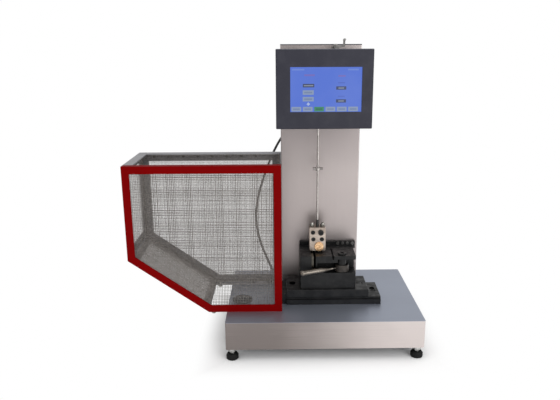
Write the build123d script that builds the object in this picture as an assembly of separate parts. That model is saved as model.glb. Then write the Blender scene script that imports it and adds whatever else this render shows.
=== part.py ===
from build123d import *
import math
import os

# Pendulum impact tester for plastics, millimetres, +Z up, +X right, +Y away from the front.
# Design axes: x from the pendulum, y from the swing plane, z from the table. The last section
# moves everything so that the origin is at the middle of the footprint.

# Pendulum
pendulum_length = 335.0
raise_angle = 150.0
strike_above_vice = 22.0
vice_top_z = 199.0
pivot_z = vice_top_z + strike_above_vice + pendulum_length
rod_radius = 2.4
hub_radius = 18.0
hub_front_y = -11.0
hub_back_y = 15.0
shaft_radius = 6.0
hammer_width = 36.0
hammer_height = 54.0
hammer_floor_gap = 4.0
hammer_screw_radius = 3.0
head_radius = 4.8
head_depth = 3.0
trim_screw = 1
trim_head_radius = 6.2
trim_head_height = 4.0
brass_radius = 10.6
brass_thickness = 3.8
brass_overhang = 0.8
brass_x = 3.2
hammer_gap = 18.0
hammer_plate = 4.5
hammer_bottom_z = vice_top_z + hammer_floor_gap
hammer_top_z = hammer_bottom_z + hammer_height
collar_radius = 5.5
collar_height = 8.0
collar_z = 389.0
collar_pin_reach = 11.0
collar_pin_radius = 3.0
ferrule_radius = 3.1
ferrule_length = 15.0

# Base box
base_left = -202.0
base_right = 222.0
base_front = -140.0
base_back = 160.0
base_bottom_z = 26.0
base_height = 62.0
base_wall = 3.0
base_top_z = base_bottom_z + base_height
floor_plate = 4.0
rib_thickness = 6.0

# Levelling feet
foot_inset = 13.0
pad_radius = 13.3
pad_height = 13.0
foot_screw_radius = 5.0
foot_nut_height = 7.0
boss_height = 18.0
boss_radius = 10.0

# Column
column_left = -81.0
column_right = 97.0
column_front = 47.0
column_back = 150.0
column_top_z = 653.0
column_wall = 3.0
column_return = 16.0
cap_thickness = 2.0
cap_skirt = 10.0
cover_thickness = 2.0
spine_thickness = 12.0
spine_margin = 22.0
spine_top_gap = 18.0
spine_foot = 14.0
gusset_height = 150.0

# Display
display_centre_x = 8.5
bezel_width = 199.0
bezel_height = 161.0
bezel_top_z = 645.0
bezel_depth = 8.0
bezel_corner = 2.0
bezel_front = -56.0
screen_width = 146.3
screen_height = 90.2
screen_top_z = 609.2
housing_inset = 3.0
housing_back = -16.0
housing_wall = 2.0
module_margin = 14.0
module_depth = 22.0

# Bridge arm over the pivot, inside the sector that the rod never reaches
arm_bottom_gap = 42.0
arm_top_gap = 87.0
arm_clearance = 8.0
arm_flange = 4.0

# Bearings
housing_flange_radius = 34.0
housing_flange = 6.0
housing_sleeve_radius = 22.0
bearing_outer_radius = 14.0
bearing_inner_radius = 8.6
bearing_groove = 0.3
bearing_fit = 0.02
bearing_width = 8.0
bearing_lip = 1.5
running_clearance = 0.05
sleeve_length = 42.0
encoder_radius = 19.0
encoder_length = 30.0

# Release catch
catch_pin_radius = 2.5
catch_along = 108.0
catch_clearance = 0.4
latch_pivot_x = 36.0
latch_pivot_z = pivot_z + 93.0
latch_front_y = 4.6
latch_thickness = 4.0
latch_open_angle = 44.4
latch_half = 2.0
latch_boss = 4.4

# Cage
cage_left = -410.0
cage_right = column_left - 0.3
cage_front = -85.0
cage_back = 86.0
cage_top_z = 413.0
cage_knee_x = -241.0
cage_knee_z = 208.0
front_angle = 16.0
back_angle = 20.0
angle_thickness = 2.5
mesh_pitch = 10.0
mesh_wire = 0.9
mesh_hem = 5.0
back_hole_radius = 3.1
back_hole_pitch = 33.8
back_hole_count = 8
back_hole_first_x = -376.7
back_hole_drop = 9.0
cage_bolt_radius = 3.0

# Vice
plate_left = -71.0
plate_right = 141.0
plate_front = -48.0
plate_back = 34.0
plate_height = 17.0
plate_slot = 14.0
plate_lip = 4.0
plate_lip_height = 11.5
end_plate = 11.0
carrier_right = 113.0
carrier_height = 17.0
vice_left = -40.0
vice_right = 84.0
vice_front = -42.0
vice_back = 44.0
carrier_top_z = base_top_z + plate_height + carrier_height
notch_top_z = 183.0
notch_bottom_z = 159.7
hub_top_z = 176.3
notch_left = -2.0
notch_depth = 34.0
slot_left = -10.2
slot_right = -5.5
slot_bottom_z = 168.0
slot_depth = 54.0
insert_thickness = 4.5
keeper_left = 34.0
keeper_thickness = 8.0
keeper_bottom_z = vice_top_z - keeper_thickness
jaw_travel_gap = 3.0
jaw_clearance = 0.2
cam_x = 54.5
cam_y = -28.0
cam_radius = 15.5
cam_disc_radius = 10.0
cam_throw = 1.7
cam_bolt_radius = 5.0
cam_bolt_head = 8.8
lever_angle = 202.0
lever_z = 168.0
neck_length = 27.0
neck_radius = 1.9
grip_start = 8.0
grip_reach = 103.5
grip_radius = 7.1
grip_nose = 7.0
grip_neck = 3.0
grip_bore = 1.5
fence_thickness = 8.0
fence_height = 9.0
fence_overhang = 7.0
fence_screw_pitch = 11.3
fence_screw_radius = 2.0
fence_head_radius = 3.6
fence_head_height = 3.4
part_clearance = 0.3

# Mains lead
gland_x = -20.0
gland_z = 470.0
gland_radius = 9.0
gland_length = 12.0
boot_length = 26.0
cord_radius = 3.0
coil_x = 12.0
coil_y = 222.0
coil_mean_radius = 33.0
coil_columns = 3
coil_layers = 2
plug_x = 34.2
plug_y = 182.0


def box_between(x0, x1, y0, y1, z0, z1):
    """A block given by its two ends along each axis."""
    size = (x1 - x0, y1 - y0, z1 - z0)
    return Pos((x0 + x1) / 2, (y0 + y1) / 2, (z0 + z1) / 2) * Box(*size)


def post(x, y, z0, z1, radius):
    """An upright cylinder."""
    return Pos(x, y, (z0 + z1) / 2) * Cylinder(radius, z1 - z0)


def shaft(x, z, y0, y1, radius):
    """A cylinder along Y."""
    return Pos(x, (y0 + y1) / 2, z) * Rot(X=90) * Cylinder(radius, y1 - y0)


def bar_x(y, z, x0, x1, radius):
    """A cylinder along X."""
    return Pos((x0 + x1) / 2, y, z) * Rot(Y=90) * Cylinder(radius, x1 - x0)


def profile_xz(points, y0, y1):
    """A prism whose outline lies in the XZ plane and which runs from y0 to y1."""
    outline = make_face(Polyline([Vector(x, y0, z) for x, z in points], close=True))
    return extrude(outline, amount=y1 - y0, dir=(0, 1, 0))


def turned_y(points, x, z):
    """A body turned about an axis along Y, from (radius, y) points."""
    outline = make_face(Polyline([Vector(r, y, 0) for r, y in points], close=True))
    return Pos(x, 0, z) * revolve(outline, Axis.Y)


def turned_z(points, x, y):
    """A body turned about an upright axis, from (radius, z) points."""
    outline = make_face(Polyline([Vector(r, 0, z) for r, z in points], close=True))
    return Pos(x, y, 0) * revolve(outline, Axis.Z)


def hexagon(x, y, z0, z1, across):
    """A hexagonal nut or bolt head standing upright."""
    outline = RegularPolygon(across / 2, 6, major_radius=False)
    return Pos(x, y, z0) * extrude(outline, amount=z1 - z0)


def group(solids):
    """Separate solids that share one node."""
    return Compound(children=list(solids))


def base_shell():
    """Folded steel box, open underneath, with its upright corners rounded."""
    outer = box_between(base_left, base_right, base_front, base_back, base_bottom_z, base_top_z)
    outer = fillet(outer.edges().filter_by(Axis.Z), 3.0)
    inner = box_between(
        base_left + base_wall,
        base_right - base_wall,
        base_front + base_wall,
        base_back - base_wall,
        base_bottom_z - 1,
        base_top_z - base_wall,
    )
    shell = outer - inner
    for x, y in base_top_holes():
        shell -= post(x, y, base_top_z - 2 * base_wall, base_top_z + 1, 3.3)
    return shell


def cage_bolt_places():
    """Where the cage's lower rails are bolted to the base, as x and y."""
    front_y = cage_front + front_angle / 2 + 3
    back_y = cage_back - back_angle / 2 - 2
    return [(x, y) for x in (cage_right - 30, cage_right - 74) for y in (front_y, back_y)]


def corner_bolt_places():
    """Bolts in the rings' lower corners, outside the base, as x and y."""
    x = cage_knee_x + 9
    return [(x, y) for y in (cage_front + front_angle / 2 + 3, cage_back - back_angle / 2 - 2)]


def rail_screw_places():
    """The row of screws in the back ring's top rail, as x."""
    return [back_hole_first_x + n * back_hole_pitch for n in range(back_hole_count)]


def vice_bolt_places():
    """The two bolts that hold the vice's base plate down, one near each end."""
    y = (plate_front + plate_back) / 2
    return [(plate_left + 14, y), (plate_right - 13, y)]


def base_top_holes():
    return cage_bolt_places() + vice_bolt_places()


def foot_places():
    """Feet stand close to the base's corners."""
    return [
        (x, y)
        for y in (base_front + foot_inset, base_back - foot_inset)
        for x in (base_left + foot_inset, base_right - foot_inset)
    ]


def base_floor_plate():
    """Floor plate inside the shell with the four threaded foot bosses and two bored ribs."""
    gap = base_wall + part_clearance
    z0 = base_bottom_z
    plate = box_between(
        base_left + gap, base_right - gap, base_front + gap, base_back - gap, z0, z0 + floor_plate
    )
    for x, y in foot_places():
        plate += post(x, y, z0 + floor_plate, z0 + floor_plate + boss_height, boss_radius - 0.5)
        plate -= post(x, y, z0 - 1, z0 + 40, foot_screw_radius + running_clearance)
    rib_bottom = z0 + floor_plate
    rib_top = base_top_z - base_wall
    for y in (plate_back + 12, column_back - 26):
        rib = box_between(base_left + 30, base_right - 30, y, y + rib_thickness, rib_bottom, rib_top)
        for x in (-120, -40, 60, 140):
            rib -= shaft(x, (rib_bottom + rib_top) / 2, y - 1, y + rib_thickness + 1, 14)
        plate += rib
    return plate


def levelling_foot(x, y):
    """Rubber-faced pad on a levelling screw with a hexagon to turn it by."""
    r = pad_radius
    pad = turned_z(
        [(0, 0), (r - 1.6, 0), (r, 1.6), (r, pad_height - 4), (r - 3, pad_height), (0, pad_height)],
        x,
        y,
    )
    nut_top = base_bottom_z - 0.4
    nut_bottom = nut_top - foot_nut_height
    screw = hexagon(x, y, nut_bottom, nut_top, 17)
    screw += post(x, y, pad_height, nut_bottom, foot_screw_radius)
    screw += post(x, y, nut_top, base_bottom_z + floor_plate + boss_height + 6, foot_screw_radius)
    return group([pad, screw])


def round_level():
    """Bull's-eye level screwed to the base top: a dark case and its glass."""
    x, y, z = -171.5, -22.5, base_top_z
    rim = [(0, z), (22.4, z), (22.4, z + 3), (15, z + 7), (11, z + 7), (11, z + 3.5), (0, z + 3.5)]
    case = turned_z(rim, x, y)
    for turn in range(3):
        angle = math.radians(30 + 120 * turn)
        case -= post(x + 18.6 * math.cos(angle), y + 18.6 * math.sin(angle), z - 1, z + 9, 1.5)
    glass = turned_z([(0, z + 3.5), (10.8, z + 3.5), (10.8, z + 6.4), (6, z + 7.4), (0, z + 7.7)], x, y)
    return group([case, glass])


def column_shell():
    """Brushed sheet folded into a channel: front, two sides and return flanges at the back."""
    outer = box_between(column_left, column_right, column_front, column_back, base_top_z, column_top_z)
    outer = fillet(outer.edges().filter_by(Axis.Z).group_by(Axis.Y)[0], 2.0)
    w = column_wall
    shell = outer - box_between(
        column_left + w, column_right - w, column_front + w, column_back - w, base_top_z - 1, column_top_z + 1
    )
    shell -= box_between(
        column_left + column_return,
        column_right - column_return,
        column_back - 2 * w,
        column_back + 1,
        base_top_z - 1,
        column_top_z + 1,
    )
    shell -= shaft(0, pivot_z, column_front - 1, column_front + w + 1, housing_sleeve_radius + part_clearance)
    for x, z in cover_screw_places():
        shell -= shaft(x, z, column_back - 2 * w, column_back + 1, 2.1)
    for z in side_bolt_heights():
        shell -= bar_x(cage_back - back_angle / 2, z, column_left - 1, column_left + w + 1, 3.3)
    return shell


def side_bolt_heights():
    """Bolts that hold the cage's back frame to the column's side."""
    return (base_top_z + 60, cage_top_z - 60)


def cover_screw_places():
    """Screws round the rear cover, in the return flanges, as x and z."""
    xs = (column_left + column_return / 2, column_right - column_return / 2)
    return [(x, base_top_z + 30 + n * 126.0) for x in xs for n in range(5)]


def column_top_cap():
    """Folded cap that drops into the channel's top."""
    w = column_wall
    top = column_top_z + cap_thickness
    cap = box_between(column_left, column_right, column_front, column_back, column_top_z, top)
    cap = fillet(cap.edges().filter_by(Axis.Z), 2.0)
    gap = w + part_clearance
    x0, x1 = column_left + gap, column_right - gap
    y0, y1 = column_front + gap, column_back - gap
    skirt = box_between(x0, x1, y0, y1, column_top_z - cap_skirt, column_top_z)
    skirt -= box_between(x0 + 2, x1 - 2, y0 + 2, y1 - 2, column_top_z - cap_skirt - 1, column_top_z + 1)
    return cap + skirt


def column_back_cover():
    """Flat rear cover with a vent louvre field, the lead's hole and the switch cut-out."""
    y0, y1 = column_back, column_back + cover_thickness
    cover = box_between(column_left + 1.5, column_right - 1.5, y0, y1, base_top_z + 1, column_top_z - 1)
    for x, z in cover_screw_places():
        cover -= shaft(x, z, y0 - 1, y1 + 1, 2.1)
    cover -= shaft(gland_x, gland_z, y0 - 1, y1 + 1, cord_radius + 3)
    x, z = switch_place()
    cover -= box_between(x - 10.5, x + 10.5, y0 - 1, y1 + 1, z - 14.2, z + 14.2)
    for row in range(6):
        z = base_top_z + 70 + row * 9.0
        for side in (-30, 46):
            cover -= box_between(side - 22, side + 22, y0 - 1, y1 + 1, z, z + 3)
    return cover


def cover_screws():
    """Pan-head screws of the rear cover."""
    y = column_back + cover_thickness
    w = column_wall
    screws = []
    for x, z in cover_screw_places():
        tip = y - cover_thickness - w
        outline = [(0, tip), (1.9, tip), (1.9, y), (3.6, y), (3.2, y + 2), (0, y + 2.4)]
        screws.append(turned_y(outline, x, z))
    return group(screws)


def switch_place():
    return gland_x + 62.0, gland_z


def switch_frame():
    """Snap-in frame of the mains switch."""
    x, z = switch_place()
    y = column_back + cover_thickness
    frame = box_between(x - 12.5, x + 12.5, y, y + 2, z - 16.5, z + 16.5)
    frame += box_between(x - 10.3, x + 10.3, y - 20, y, z - 14, z + 14)
    frame -= box_between(x - 8.3, x + 8.3, y - 14, y + 3, z - 11.8, z + 11.8)
    frame += bar_x(y - 5, z, x - 8.4, x + 8.4, 1.4)
    return frame


def switch_rocker():
    """Rocker that tips about its pin."""
    x, z = switch_place()
    y = column_back + cover_thickness
    half = 10.6
    points = [
        (y + 1.0, z),
        (y + 4.4, z + half),
        (y - 6.6, z + half - 1.5),
        (y - 9.5, z),
        (y - 6.6, z - half + 1.5),
        (y + 4.4, z - half),
    ]
    outline = make_face(Polyline([Vector(x - 7.9, b, c) for b, c in points], close=True))
    rocker = extrude(outline, amount=15.8, dir=(1, 0, 0))
    return rocker - bar_x(y - 5, z, x - 9, x + 9, 1.4 + running_clearance)


def spine_edges():
    return column_left + spine_margin, column_right - spine_margin


def column_spine():
    """Heavy plate behind the column's front that carries the pivot, with its foot."""
    x0, x1 = spine_edges()
    y0 = column_front + column_wall
    y1 = y0 + spine_thickness
    plate = box_between(x0, x1, y0, y1, base_top_z, column_top_z - spine_top_gap)
    z0 = base_top_z + spine_foot
    foot = box_between(x0, x1, y1, y1 + 62, base_top_z, z0)
    gussets = []
    for x in (x0 + 10, x1 - 18):
        corners = [Vector(x, y1, z0), Vector(x, y1 + 58, z0), Vector(x, y1, base_top_z + gusset_height)]
        side = make_face(Polyline(corners, close=True))
        gussets.append(extrude(side, amount=8, dir=(1, 0, 0)))
    spine = plate + foot + gussets
    spine -= shaft(0, pivot_z, y0 - 1, y1 + 1, housing_sleeve_radius + part_clearance)
    return spine


def arm_half_width(height):
    """Half the free width of the sector above the pivot at a height over the pivot."""
    half = math.radians(180 - raise_angle)
    return height * math.tan(half) - (rod_radius + arm_clearance) / math.cos(half)


def bridge_arm():
    """Wedge-shaped arm that carries the display clear of the swinging rod."""
    low = pivot_z + arm_bottom_gap
    high = pivot_z + arm_top_gap
    w_low, w_high = arm_half_width(arm_bottom_gap), arm_half_width(arm_top_gap)
    wedge = [(-w_low, low), (w_low, low), (w_high, high), (-w_high, high)]
    arm = profile_xz(wedge, housing_back, column_front)
    t = 6.0
    inner_low, inner_high = w_low - t, w_high - t - 2
    hollow = [(-inner_low, low + t), (inner_low, low + t), (inner_high, high - t), (-inner_high, high - t)]
    arm -= profile_xz(hollow, housing_back + 2 * arm_flange, column_front - 2 * arm_flange)
    return arm


def display_limits():
    """Left, right, bottom and top of the bezel."""
    half = bezel_width / 2
    return display_centre_x - half, display_centre_x + half, bezel_top_z - bezel_height, bezel_top_z


def display_housing():
    """Folded steel box behind the bezel, open to the front."""
    x0, x1, z0, z1 = display_limits()
    i, w = housing_inset, housing_wall
    front = bezel_front + bezel_depth
    outer = box_between(x0 + i, x1 - i, front, housing_back, z0 + i, z1 - i)
    outer = fillet(outer.edges().filter_by(Axis.Y), 2.0)
    inner = box_between(x0 + i + w, x1 - i - w, front - 1, housing_back - w, z0 + i + w, z1 - i - w)
    return outer - inner


def screen_limits():
    half = screen_width / 2
    x = display_centre_x + 3.2
    return x - half, x + half, screen_top_z - screen_height, screen_top_z


def display_bezel():
    """Moulded panel frame with a softened edge and a sloped reveal round the screen."""
    x0, x1, z0, z1 = display_limits()
    back = bezel_front + bezel_depth
    frame = box_between(x0, x1, bezel_front, back, z0, z1)
    frame = fillet(frame.edges().filter_by(Axis.Y), bezel_corner)
    frame = chamfer(frame.faces().sort_by(Axis.Y)[0].edges(), 1.2)
    a, b, c, d = screen_limits()
    frame -= box_between(a, b, bezel_front - 1, back + 1, c, d)
    seat = 4.0
    frame -= box_between(a - seat, b + seat, bezel_front + 3, back + 1, c - seat, d + seat)
    return frame


def display_glass():
    """Touch panel seated behind the reveal."""
    a, b, c, d = screen_limits()
    seat = 4.0 - part_clearance
    return box_between(a - seat, b + seat, bezel_front + 3, bezel_front + 6, c - seat, d + seat)


def display_module():
    """Screen unit behind the glass, with its connector block."""
    x0, x1, z0, z1 = display_limits()
    m = module_margin
    y0 = bezel_front + bezel_depth
    body = box_between(x0 + m, x1 - m, y0, y0 + module_depth, z0 + m, z1 - m)
    back = y0 + module_depth
    body += box_between(x0 + m + 20, x0 + m + 90, back, back + 6, z0 + m + 8, z0 + m + 26)
    a, b, c, d = screen_limits()
    body += box_between(a, b, bezel_front + 6, y0, c, d)
    return body


def bearing_span(index):
    """Front and back of a bearing along Y."""
    front = column_front - housing_flange
    starts = (front + bearing_lip, front + sleeve_length - bearing_lip - bearing_width)
    return starts[index], starts[index] + bearing_width


def bearing_housing():
    """Flanged sleeve on the column with two bearing seats and a relieved middle."""
    y0 = column_front - housing_flange
    y1 = y0 + sleeve_length
    bore = bearing_outer_radius
    flange = housing_flange_radius
    sleeve = housing_sleeve_radius
    first, second = bearing_span(0), bearing_span(1)
    points = [
        (bore - 2, y0),
        (flange - 1.5, y0),
        (flange, y0 + 1.5),
        (flange, column_front),
        (sleeve, column_front),
        (sleeve, y1),
        (bore - 2, y1),
        (bore - 2, second[1]),
        (bore, second[1]),
        (bore, second[0]),
        (bore - 1, second[0]),
        (bore - 1, first[1]),
        (bore, first[1]),
        (bore, first[0]),
        (bore - 2, first[0]),
    ]
    housing = turned_y(points, 0, pivot_z)
    for turn in range(6):
        angle = math.radians(60 * turn)
        x = 28 * math.cos(angle)
        z = pivot_z + 28 * math.sin(angle)
        housing -= shaft(x, z, y0 - 1, y0 + 4, 3.4)
    return housing


def bearing_outer_rings():
    rings = []
    for index in range(2):
        y0, y1 = bearing_span(index)
        inner = bearing_inner_radius + bearing_groove
        outer = bearing_outer_radius - bearing_fit
        rings.append(turned_y([(inner, y0), (outer, y0), (outer, y1), (inner, y1)], 0, pivot_z))
    return group(rings)


def bearing_inner_rings():
    rings = []
    for index in range(2):
        y0, y1 = bearing_span(index)
        outer = bearing_inner_radius
        outline = [(shaft_radius, y0), (outer, y0), (outer, y1), (shaft_radius, y1)]
        rings.append(turned_y(outline, 0, pivot_z))
    return group(rings)


def shaft_end_y():
    return column_front - housing_flange + sleeve_length + 20


def pivot_shaft():
    """Stepped shaft: hub seat, shoulder against the front bearing, and the encoder end."""
    first = bearing_span(0)
    shoulder = first[0]
    end = shaft_end_y()
    r = shaft_radius
    points = [
        (0, hub_front_y - 3),
        (r - 1, hub_front_y - 3),
        (r, hub_front_y - 2),
        (r, hub_back_y),
        (r + 2, hub_back_y),
        (r + 2, shoulder),
        (r, shoulder),
        (r, end - 12),
        (3, end - 12),
        (3, end),
        (0, end),
    ]
    return turned_y(points, 0, pivot_z)


def encoder_coupling():
    """Slotted coupling that joins the shaft's end to the encoder."""
    end = shaft_end_y()
    coupling = turned_y([(3, end - 11), (8, end - 11), (8, end + 5), (3, end + 5)], 0, pivot_z)
    for n in range(3):
        y = end - 7 + n * 4
        low, high = ((1.5, 12), (-12, -1.5))[n % 2]
        coupling -= box_between(low, high, y, y + 1, pivot_z - 9, pivot_z + 9)
    return coupling


def angle_encoder():
    """Angle encoder on a bracket that stands off the spine."""
    y0 = shaft_end_y() + 8
    end = y0 + encoder_length
    r = encoder_radius
    outside = [(3.5, y0), (r, y0), (r, y0 + 4), (r - 2, y0 + 8), (r - 2, end)]
    outline = outside + [(0, end), (0, y0 + 8), (3.5, y0 + 8)]
    body = turned_y(outline, 0, pivot_z)
    spine_back = column_front + column_wall + spine_thickness
    for x in (-30, 30):
        body += box_between(x - 4, x + 4, spine_back, y0 + 4, pivot_z - 10, pivot_z + 10)
    bracket = box_between(-34, 34, y0, y0 + 4, pivot_z - 10, pivot_z + 10)
    return body + (bracket - shaft(0, pivot_z, y0 - 1, y0 + 5, r - 4))


def power_supply():
    """Boxed supply with its flange screwed to the spine."""
    y0 = column_front + column_wall + spine_thickness
    z0 = base_top_z + gusset_height
    unit = box_between(-42, 42, y0 + 3, y0 + 45, z0 + 12, z0 + 142)
    return unit + box_between(-42, 42, y0, y0 + 3, z0, z0 + 154)


def latch_bracket():
    """Ear on the arm's top with the catch's pivot pin."""
    x, z = latch_pivot_x, latch_pivot_z
    y = latch_front_y + latch_thickness + part_clearance
    top = pivot_z + arm_top_gap
    ear = box_between(x - 9, x + 6, y, y + 4, top, z)
    ear += shaft(x, z, y, y + 4, 6)
    foot = box_between(x - 9, x + 2, y + 4, y + 18, top, top + 3)
    pin = shaft(x, z, latch_front_y - part_clearance, y, 2.5)
    head = shaft(x, z, latch_front_y - part_clearance - 1.2, latch_front_y - part_clearance, 4)
    ear = ear - box_between(x - 20, x + 20, y - 1, y + 30, top - 20, top)
    return ear + foot + pin + head


def catch_point(along, across):
    """A point beside the raised rod: along it from the pivot, and across it to the right."""
    angle = math.radians(180 - raise_angle)
    x = along * math.sin(angle) + across * math.cos(angle)
    z = pivot_z + along * math.cos(angle) - across * math.sin(angle)
    return x, z


def turned_about_latch(x, z, degrees):
    """A point of the catch after it turns about its pivot, clockwise seen from the front."""
    a = math.radians(degrees)
    dx, dz = x - latch_pivot_x, z - latch_pivot_z
    turned_x = dx * math.cos(a) + dz * math.sin(a)
    turned_z_offset = dz * math.cos(a) - dx * math.sin(a)
    return latch_pivot_x + turned_x, latch_pivot_z + turned_z_offset


def latch_lever():
    """Catch lever in its open place, with the pin that holds the raised rod."""
    closed_x, closed_z = catch_point(catch_along, rod_radius + catch_pin_radius + catch_clearance)
    tip_x, tip_z = turned_about_latch(closed_x, closed_z, -latch_open_angle)
    elbow_x, elbow_z = tip_x - 0.4, latch_pivot_z + 1.5
    y0 = latch_front_y
    y1 = y0 + latch_thickness
    lower = profile_xz(bar_outline(latch_pivot_x, latch_pivot_z, elbow_x, elbow_z, latch_half), y0, y1)
    upper = profile_xz(bar_outline(elbow_x, elbow_z, tip_x, tip_z, latch_half), y0, y1)
    lever = lower + upper + shaft(latch_pivot_x, latch_pivot_z, y0, y1, latch_boss)
    lever += shaft(elbow_x, elbow_z, y0, y1, latch_half)
    lever += shaft(tip_x, tip_z, -rod_radius - 3.5, y1, catch_pin_radius)
    return lever - shaft(latch_pivot_x, latch_pivot_z, y0 - 1, y1 + 1, 2.5 + running_clearance)


def bar_outline(x0, z0, x1, z1, half):
    """Four corners of a flat bar between two points."""
    length = math.hypot(x1 - x0, z1 - z0)
    nx, nz = -(z1 - z0) / length * half, (x1 - x0) / length * half
    return [(x0 + nx, z0 + nz), (x0 - nx, z0 - nz), (x1 - nx, z1 - nz), (x1 + nx, z1 + nz)]


def cage_outline(inset):
    """The cage's five corners in the XZ plane, moved inwards by an inset."""
    knee = math.atan2(cage_knee_z - base_top_z, cage_knee_x - cage_left)
    slope_low = inset * math.tan(knee / 2)
    slope_high = inset * math.tan((math.pi / 2 - knee) / 2)
    return [
        (cage_left + inset, cage_top_z - inset),
        (cage_right - inset, cage_top_z - inset),
        (cage_right - inset, base_top_z + inset),
        (cage_knee_x + slope_low, base_top_z + inset),
        (cage_left + inset, cage_knee_z + slope_high),
    ]


def angle_ring(width, face_y, inward):
    """Welded ring of angle iron: a face flange and a flange round the outside edge."""
    t = angle_thickness
    y_face = sorted((face_y, face_y + inward * t))
    y_edge = sorted((face_y, face_y + inward * width))
    face = profile_xz(cage_outline(0), *y_face)
    face -= profile_xz(cage_outline(width), y_face[0] - 1, y_face[1] + 1)
    edge = profile_xz(cage_outline(0), *y_edge) - profile_xz(cage_outline(t), y_edge[0] - 1, y_edge[1] + 1)
    return face + edge


def cage_front_frame():
    """Painted front ring, drilled for its two bolts into the base."""
    ring = angle_ring(front_angle, cage_front, 1)
    for x, y in cage_bolt_places() + corner_bolt_places():
        ring -= post(x, y, base_top_z - 1, base_top_z + 4, 3.3)
    return ring


def cage_back_frame():
    """Back ring with the row of holes in its top rail and its bolts to base and column."""
    ring = angle_ring(back_angle, cage_back, -1)
    for x in rail_screw_places():
        ring -= shaft(x, cage_top_z - back_hole_drop, cage_back - 4, cage_back + 1, back_hole_radius)
    for x, y in cage_bolt_places() + corner_bolt_places():
        ring -= post(x, y, base_top_z - 1, base_top_z + 4, 3.3)
    for z in side_bolt_heights():
        ring -= bar_x(cage_back - back_angle / 2, z, cage_right - 4, cage_right + 1, 3.3)
    return ring


def cage_cross_members():
    """Angle bars that tie the rings at the top left and the knee, and a flat bar at the bottom."""
    y0 = cage_front + front_angle + part_clearance
    y1 = cage_back - back_angle - part_clearance
    t = angle_thickness
    w = back_angle
    outer = cage_outline(0)
    inner = cage_outline(t)
    bars = []
    corner, inside = outer[0], inner[0]
    x, z = corner
    bars.append(box_between(x, x + w, y0, y1, inside[1], z) + box_between(x, x + t, y0, y1, z - w, z))
    slope = math.hypot(cage_knee_x - cage_left, cage_knee_z - base_top_z)
    ux = (cage_knee_x - cage_left) / slope
    uz = (base_top_z - cage_knee_z) / slope
    knee, knee_in = outer[4], inner[4]
    far = (knee[0] + ux * w, knee[1] + uz * w)
    far_in = (far[0] - uz * t, far[1] + ux * t)
    points = [knee, far, far_in, knee_in, (knee_in[0], knee[1] + w), (knee[0], knee[1] + w)]
    bars.append(profile_xz(points, y0, y1))
    low, low_in = outer[3], inner[3]
    near = (low[0] - ux * w, low[1] - uz * w)
    near_in = (near[0] - uz * t, near[1] + ux * t)
    bars.append(profile_xz([low, near, near_in, low_in], y0, y1))
    return group(bars)


def wire_screen(points, normal_front, normal_back):
    """Welded wire screen in a rolled hem: upright wires in front, level wires behind.

    The outline is given in the XZ plane and the screen fills it between two y values.
    """
    outline = profile_xz(points, normal_front, normal_back)
    xs = [p[0] for p in points]
    zs = [p[1] for p in points]
    face = outline.faces().sort_by(Axis.Y)[0]
    hem_face = offset(face, amount=-mesh_hem, kind=Kind.INTERSECTION)
    window = extrude(hem_face, amount=normal_back - normal_front + 2, dir=(0, 1, 0))
    window = Pos(0, -1, 0) * window
    hem = outline - window
    margin = 1.2
    reach_face = offset(face, amount=-mesh_hem + margin, kind=Kind.INTERSECTION)
    reach = extrude(reach_face, amount=normal_back - normal_front, dir=(0, 1, 0))
    half = mesh_wire / 2
    uprights = []
    count = int((max(xs) - min(xs)) / mesh_pitch)
    start = (max(xs) + min(xs)) / 2 - (count - 1) * mesh_pitch / 2
    for n in range(count):
        x = start + n * mesh_pitch
        y1 = normal_front + mesh_wire
        uprights.append(box_between(x - half, x + half, normal_front, y1, min(zs), max(zs)))
    levels = []
    count = int((max(zs) - min(zs)) / mesh_pitch)
    start = (max(zs) + min(zs)) / 2 - (count - 1) * mesh_pitch / 2
    for n in range(count):
        z = start + n * mesh_pitch
        y0 = normal_back - mesh_wire
        levels.append(box_between(min(xs), max(xs), y0, normal_back, z - half, z + half))
    wires = [wire & reach for wire in uprights + levels]
    solids = [solid for wire in wires if wire for solid in wire.solids()]
    return hem.fuse(*solids)


def screen_thickness():
    """Two wires and the small gap that keeps them from touching."""
    return 2 * mesh_wire + 0.1


def cage_mesh_front():
    y0 = cage_front + angle_thickness
    return wire_screen(cage_outline(angle_thickness + part_clearance), y0, y0 + screen_thickness())


def cage_mesh_back():
    y1 = cage_back - angle_thickness
    return wire_screen(cage_outline(angle_thickness + part_clearance), y1 - screen_thickness(), y1)


def flat_screen(length, depth):
    """A rectangular screen, length along X and depth along Z, standing on the XZ plane."""
    points = [(0, 0), (length, 0), (length, depth), (0, depth)]
    return wire_screen(points, 0, screen_thickness())


def cage_mesh_sides():
    """Screens of the left side and of the slanted side, inside the frames' edge flanges."""
    t = angle_thickness + part_clearance
    thickness = screen_thickness()
    y0 = cage_front + angle_thickness + thickness + part_clearance
    y1 = cage_back - angle_thickness - thickness - part_clearance
    inner = cage_outline(t)
    knee, corner, low = inner[4], inner[0], inner[3]
    left = flat_screen(y1 - y0, corner[1] - knee[1] - 2)
    left = Location((knee[0] + thickness, y0, knee[1] + 1), (0, 0, 90)) * left
    slope = math.hypot(low[0] - knee[0], low[1] - knee[1])
    drop = math.degrees(math.atan2(knee[1] - low[1], low[0] - knee[0]))
    slanted = flat_screen(slope - thickness - 4, y1 - y0)
    slanted = Pos(thickness / 2 + 2, 0, thickness) * Rot(X=-90) * slanted
    slanted = Location((knee[0], y0, knee[1])) * Rot(Y=drop) * slanted
    return group([left.solids()[0], slanted.solids()[0]])


def bolt_head(x, y, z):
    """Washer and hexagon head standing on a rail."""
    return post(x, y, z, z + 1.2, 5.2) + hexagon(x, y, z + 1.2, z + 5.5, 10)


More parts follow.
